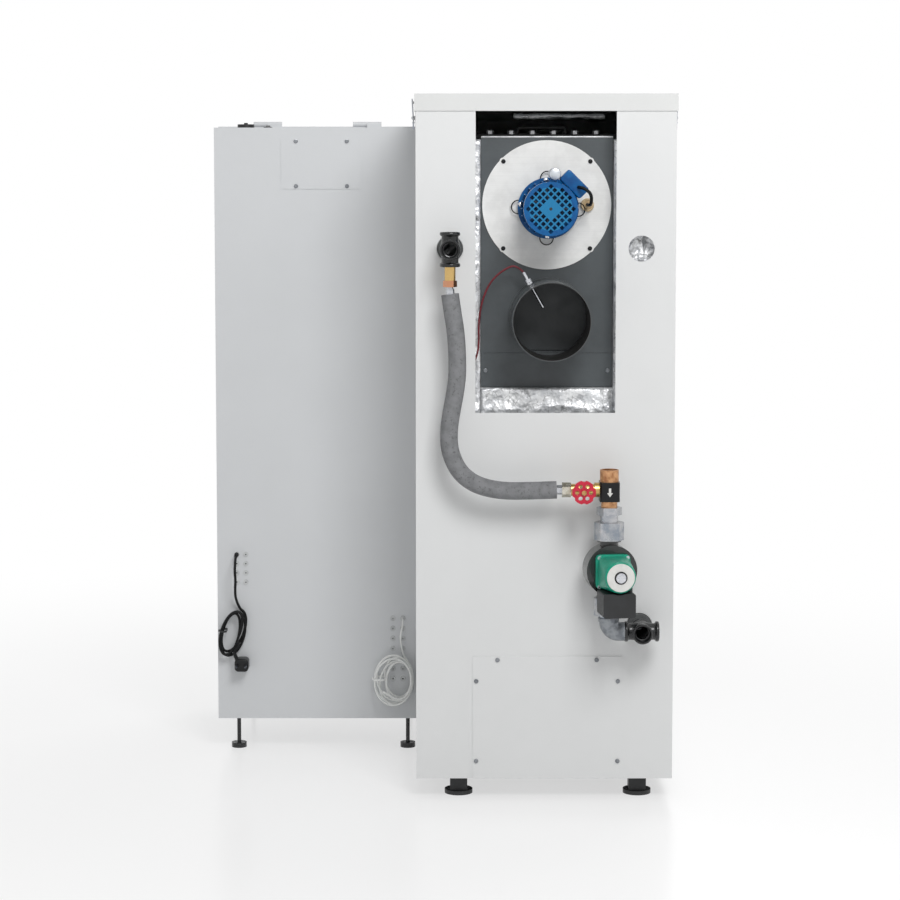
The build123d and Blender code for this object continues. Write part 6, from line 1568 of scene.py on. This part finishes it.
@dataclass
class Studio:
    """Pale floor, soft sky, lamps and the camera, in row metres."""

    floor_size: float = 60.0
    floor_steps: int = 9
    near_glow: float = 0.6
    glow_from: float = 0.7
    glow_full: float = 2.6
    sky: float = 0.46
    seen_sky: float = 1.0
    lens: float = 96.0
    shift: float = -0.08
    tilt: float = 4.8
    eye: Point = (0.0236, -4.975, 1.213)

    def floor(self) -> None:
        """Pale glossy floor that turns to plain white for the camera away from the object."""
        half = self.floor_size / 2
        ramp = np.linspace(-half, half, self.floor_steps)
        x, y = np.meshgrid(ramp, ramp)
        mesh = bpy.data.meshes.new("studio_floor")
        index = np.arange(x.size).reshape(x.shape)
        quads = np.stack((index[:-1, :-1], index[:-1, 1:], index[1:, 1:], index[1:, :-1]), axis=-1)
        points = np.stack((x, y, np.zeros_like(x)), axis=-1).reshape(-1, 3)
        mesh.from_pydata(points.tolist(), [], quads.reshape(-1, 4).tolist())
        made = bpy.data.objects.new("studio_floor", mesh)
        bpy.context.scene.collection.objects.link(made)
        mesh.materials.append(self.floor_material())

    def floor_material(self) -> bpy.types.Material:
        """Diffuse with a soft gloss near the object, turning to plain white for rays that are seen."""
        web = Web("studio floor")
        across, deep = web.axis("X"), web.axis("Y")
        radius = (across * across + deep * deep).root()
        far = radius.step(self.glow_from, self.glow_full) * (1.0 - self.near_glow) + self.near_glow
        path = web.node("ShaderNodeLightPath")
        camera, gloss, glass = (Value(web, path.outputs[ray]) for ray in SEEN_RAYS)
        near = web.node(
            "ShaderNodeBsdfPrincipled", None,
            {"Base Color": (0.93, 0.93, 0.93), "Roughness": 0.22, "Specular IOR Level": 0.35},
        )
        white = web.node("ShaderNodeEmission", None, {"Color": (1.0, 1.0, 1.0), "Strength": 1.0})
        inputs = {0: far * (camera + gloss + glass), 1: near.outputs[0], 2: white.outputs[0]}
        mixed = web.node("ShaderNodeMixShader", None, inputs)
        web.node("ShaderNodeOutputMaterial", None, {"Surface": mixed.outputs[0]})
        return web.made

    def world(self) -> None:
        """Soft even sky, seen as plain white by camera, gloss and glass."""
        world = bpy.data.worlds.new("studio sky")
        bpy.context.scene.world = world
        world.use_nodes = True
        nodes, links = world.node_tree.nodes, world.node_tree.links
        nodes.clear()
        path = nodes.new("ShaderNodeLightPath")
        seen = path.outputs[SEEN_RAYS[0]]
        for ray in SEEN_RAYS[1:]:
            total = nodes.new("ShaderNodeMath")
            total.operation = "ADD"
            total.use_clamp = True
            links.new(seen, total.inputs[0])
            links.new(path.outputs[ray], total.inputs[1])
            seen = total.outputs[0]
        mix = nodes.new("ShaderNodeMixShader")
        links.new(seen, mix.inputs[0])
        for socket, strength in ((1, self.sky), (2, self.seen_sky)):
            background = nodes.new("ShaderNodeBackground")
            background.inputs[0].default_value = (1.0, 1.0, 1.0, 1.0)
            background.inputs[1].default_value = strength
            links.new(background.outputs[0], mix.inputs[socket])
        output = nodes.new("ShaderNodeOutputWorld")
        links.new(mix.outputs[0], output.inputs[0])

    def camera(self) -> None:
        """Camera at the photograph's viewing angle, behind the boiler."""
        lens = bpy.data.cameras.new("rear view")
        lens.lens = self.lens
        lens.sensor_width = 36.0
        lens.shift_y = self.shift
        lens.clip_end = 200.0
        made = bpy.data.objects.new("rear view", lens)
        made.location = self.eye
        made.rotation_euler = (math.radians(90.0 - self.tilt), 0.0, 0.0)
        bpy.context.scene.collection.objects.link(made)
        bpy.context.scene.camera = made

    def build(self) -> None:
        """Sets the stage."""
        self.camera()
        self.floor()
        self.world()
        for lamp in LAMPS:
            lamp.build()


def main() -> None:
    """Builds the stage, the leads and every piece."""
    logging.basicConfig(level=logging.INFO, format="%(message)s")
    scene = bpy.context.scene
    scene.view_settings.view_transform = "Standard"
    Studio().build()
    Leads().build()
    dress_nodes()
    blanket = Blanket()
    blanket.build()
    blanket.wisps()
    FluePart().build()
    FanMotor().build()
    PumpSet().build()
    Cross("upper_iron_cross", "flow_cross", (-184.0, -58.0, 1075.0), Axis.Z).build()
    Cross("lower_iron_cross", "return_cross", (184.0, -58.0, 342.0), Axis.X).build()
    SmallParts().build()
    FrontPanel().build()


if __name__ == "__main__":
    main()
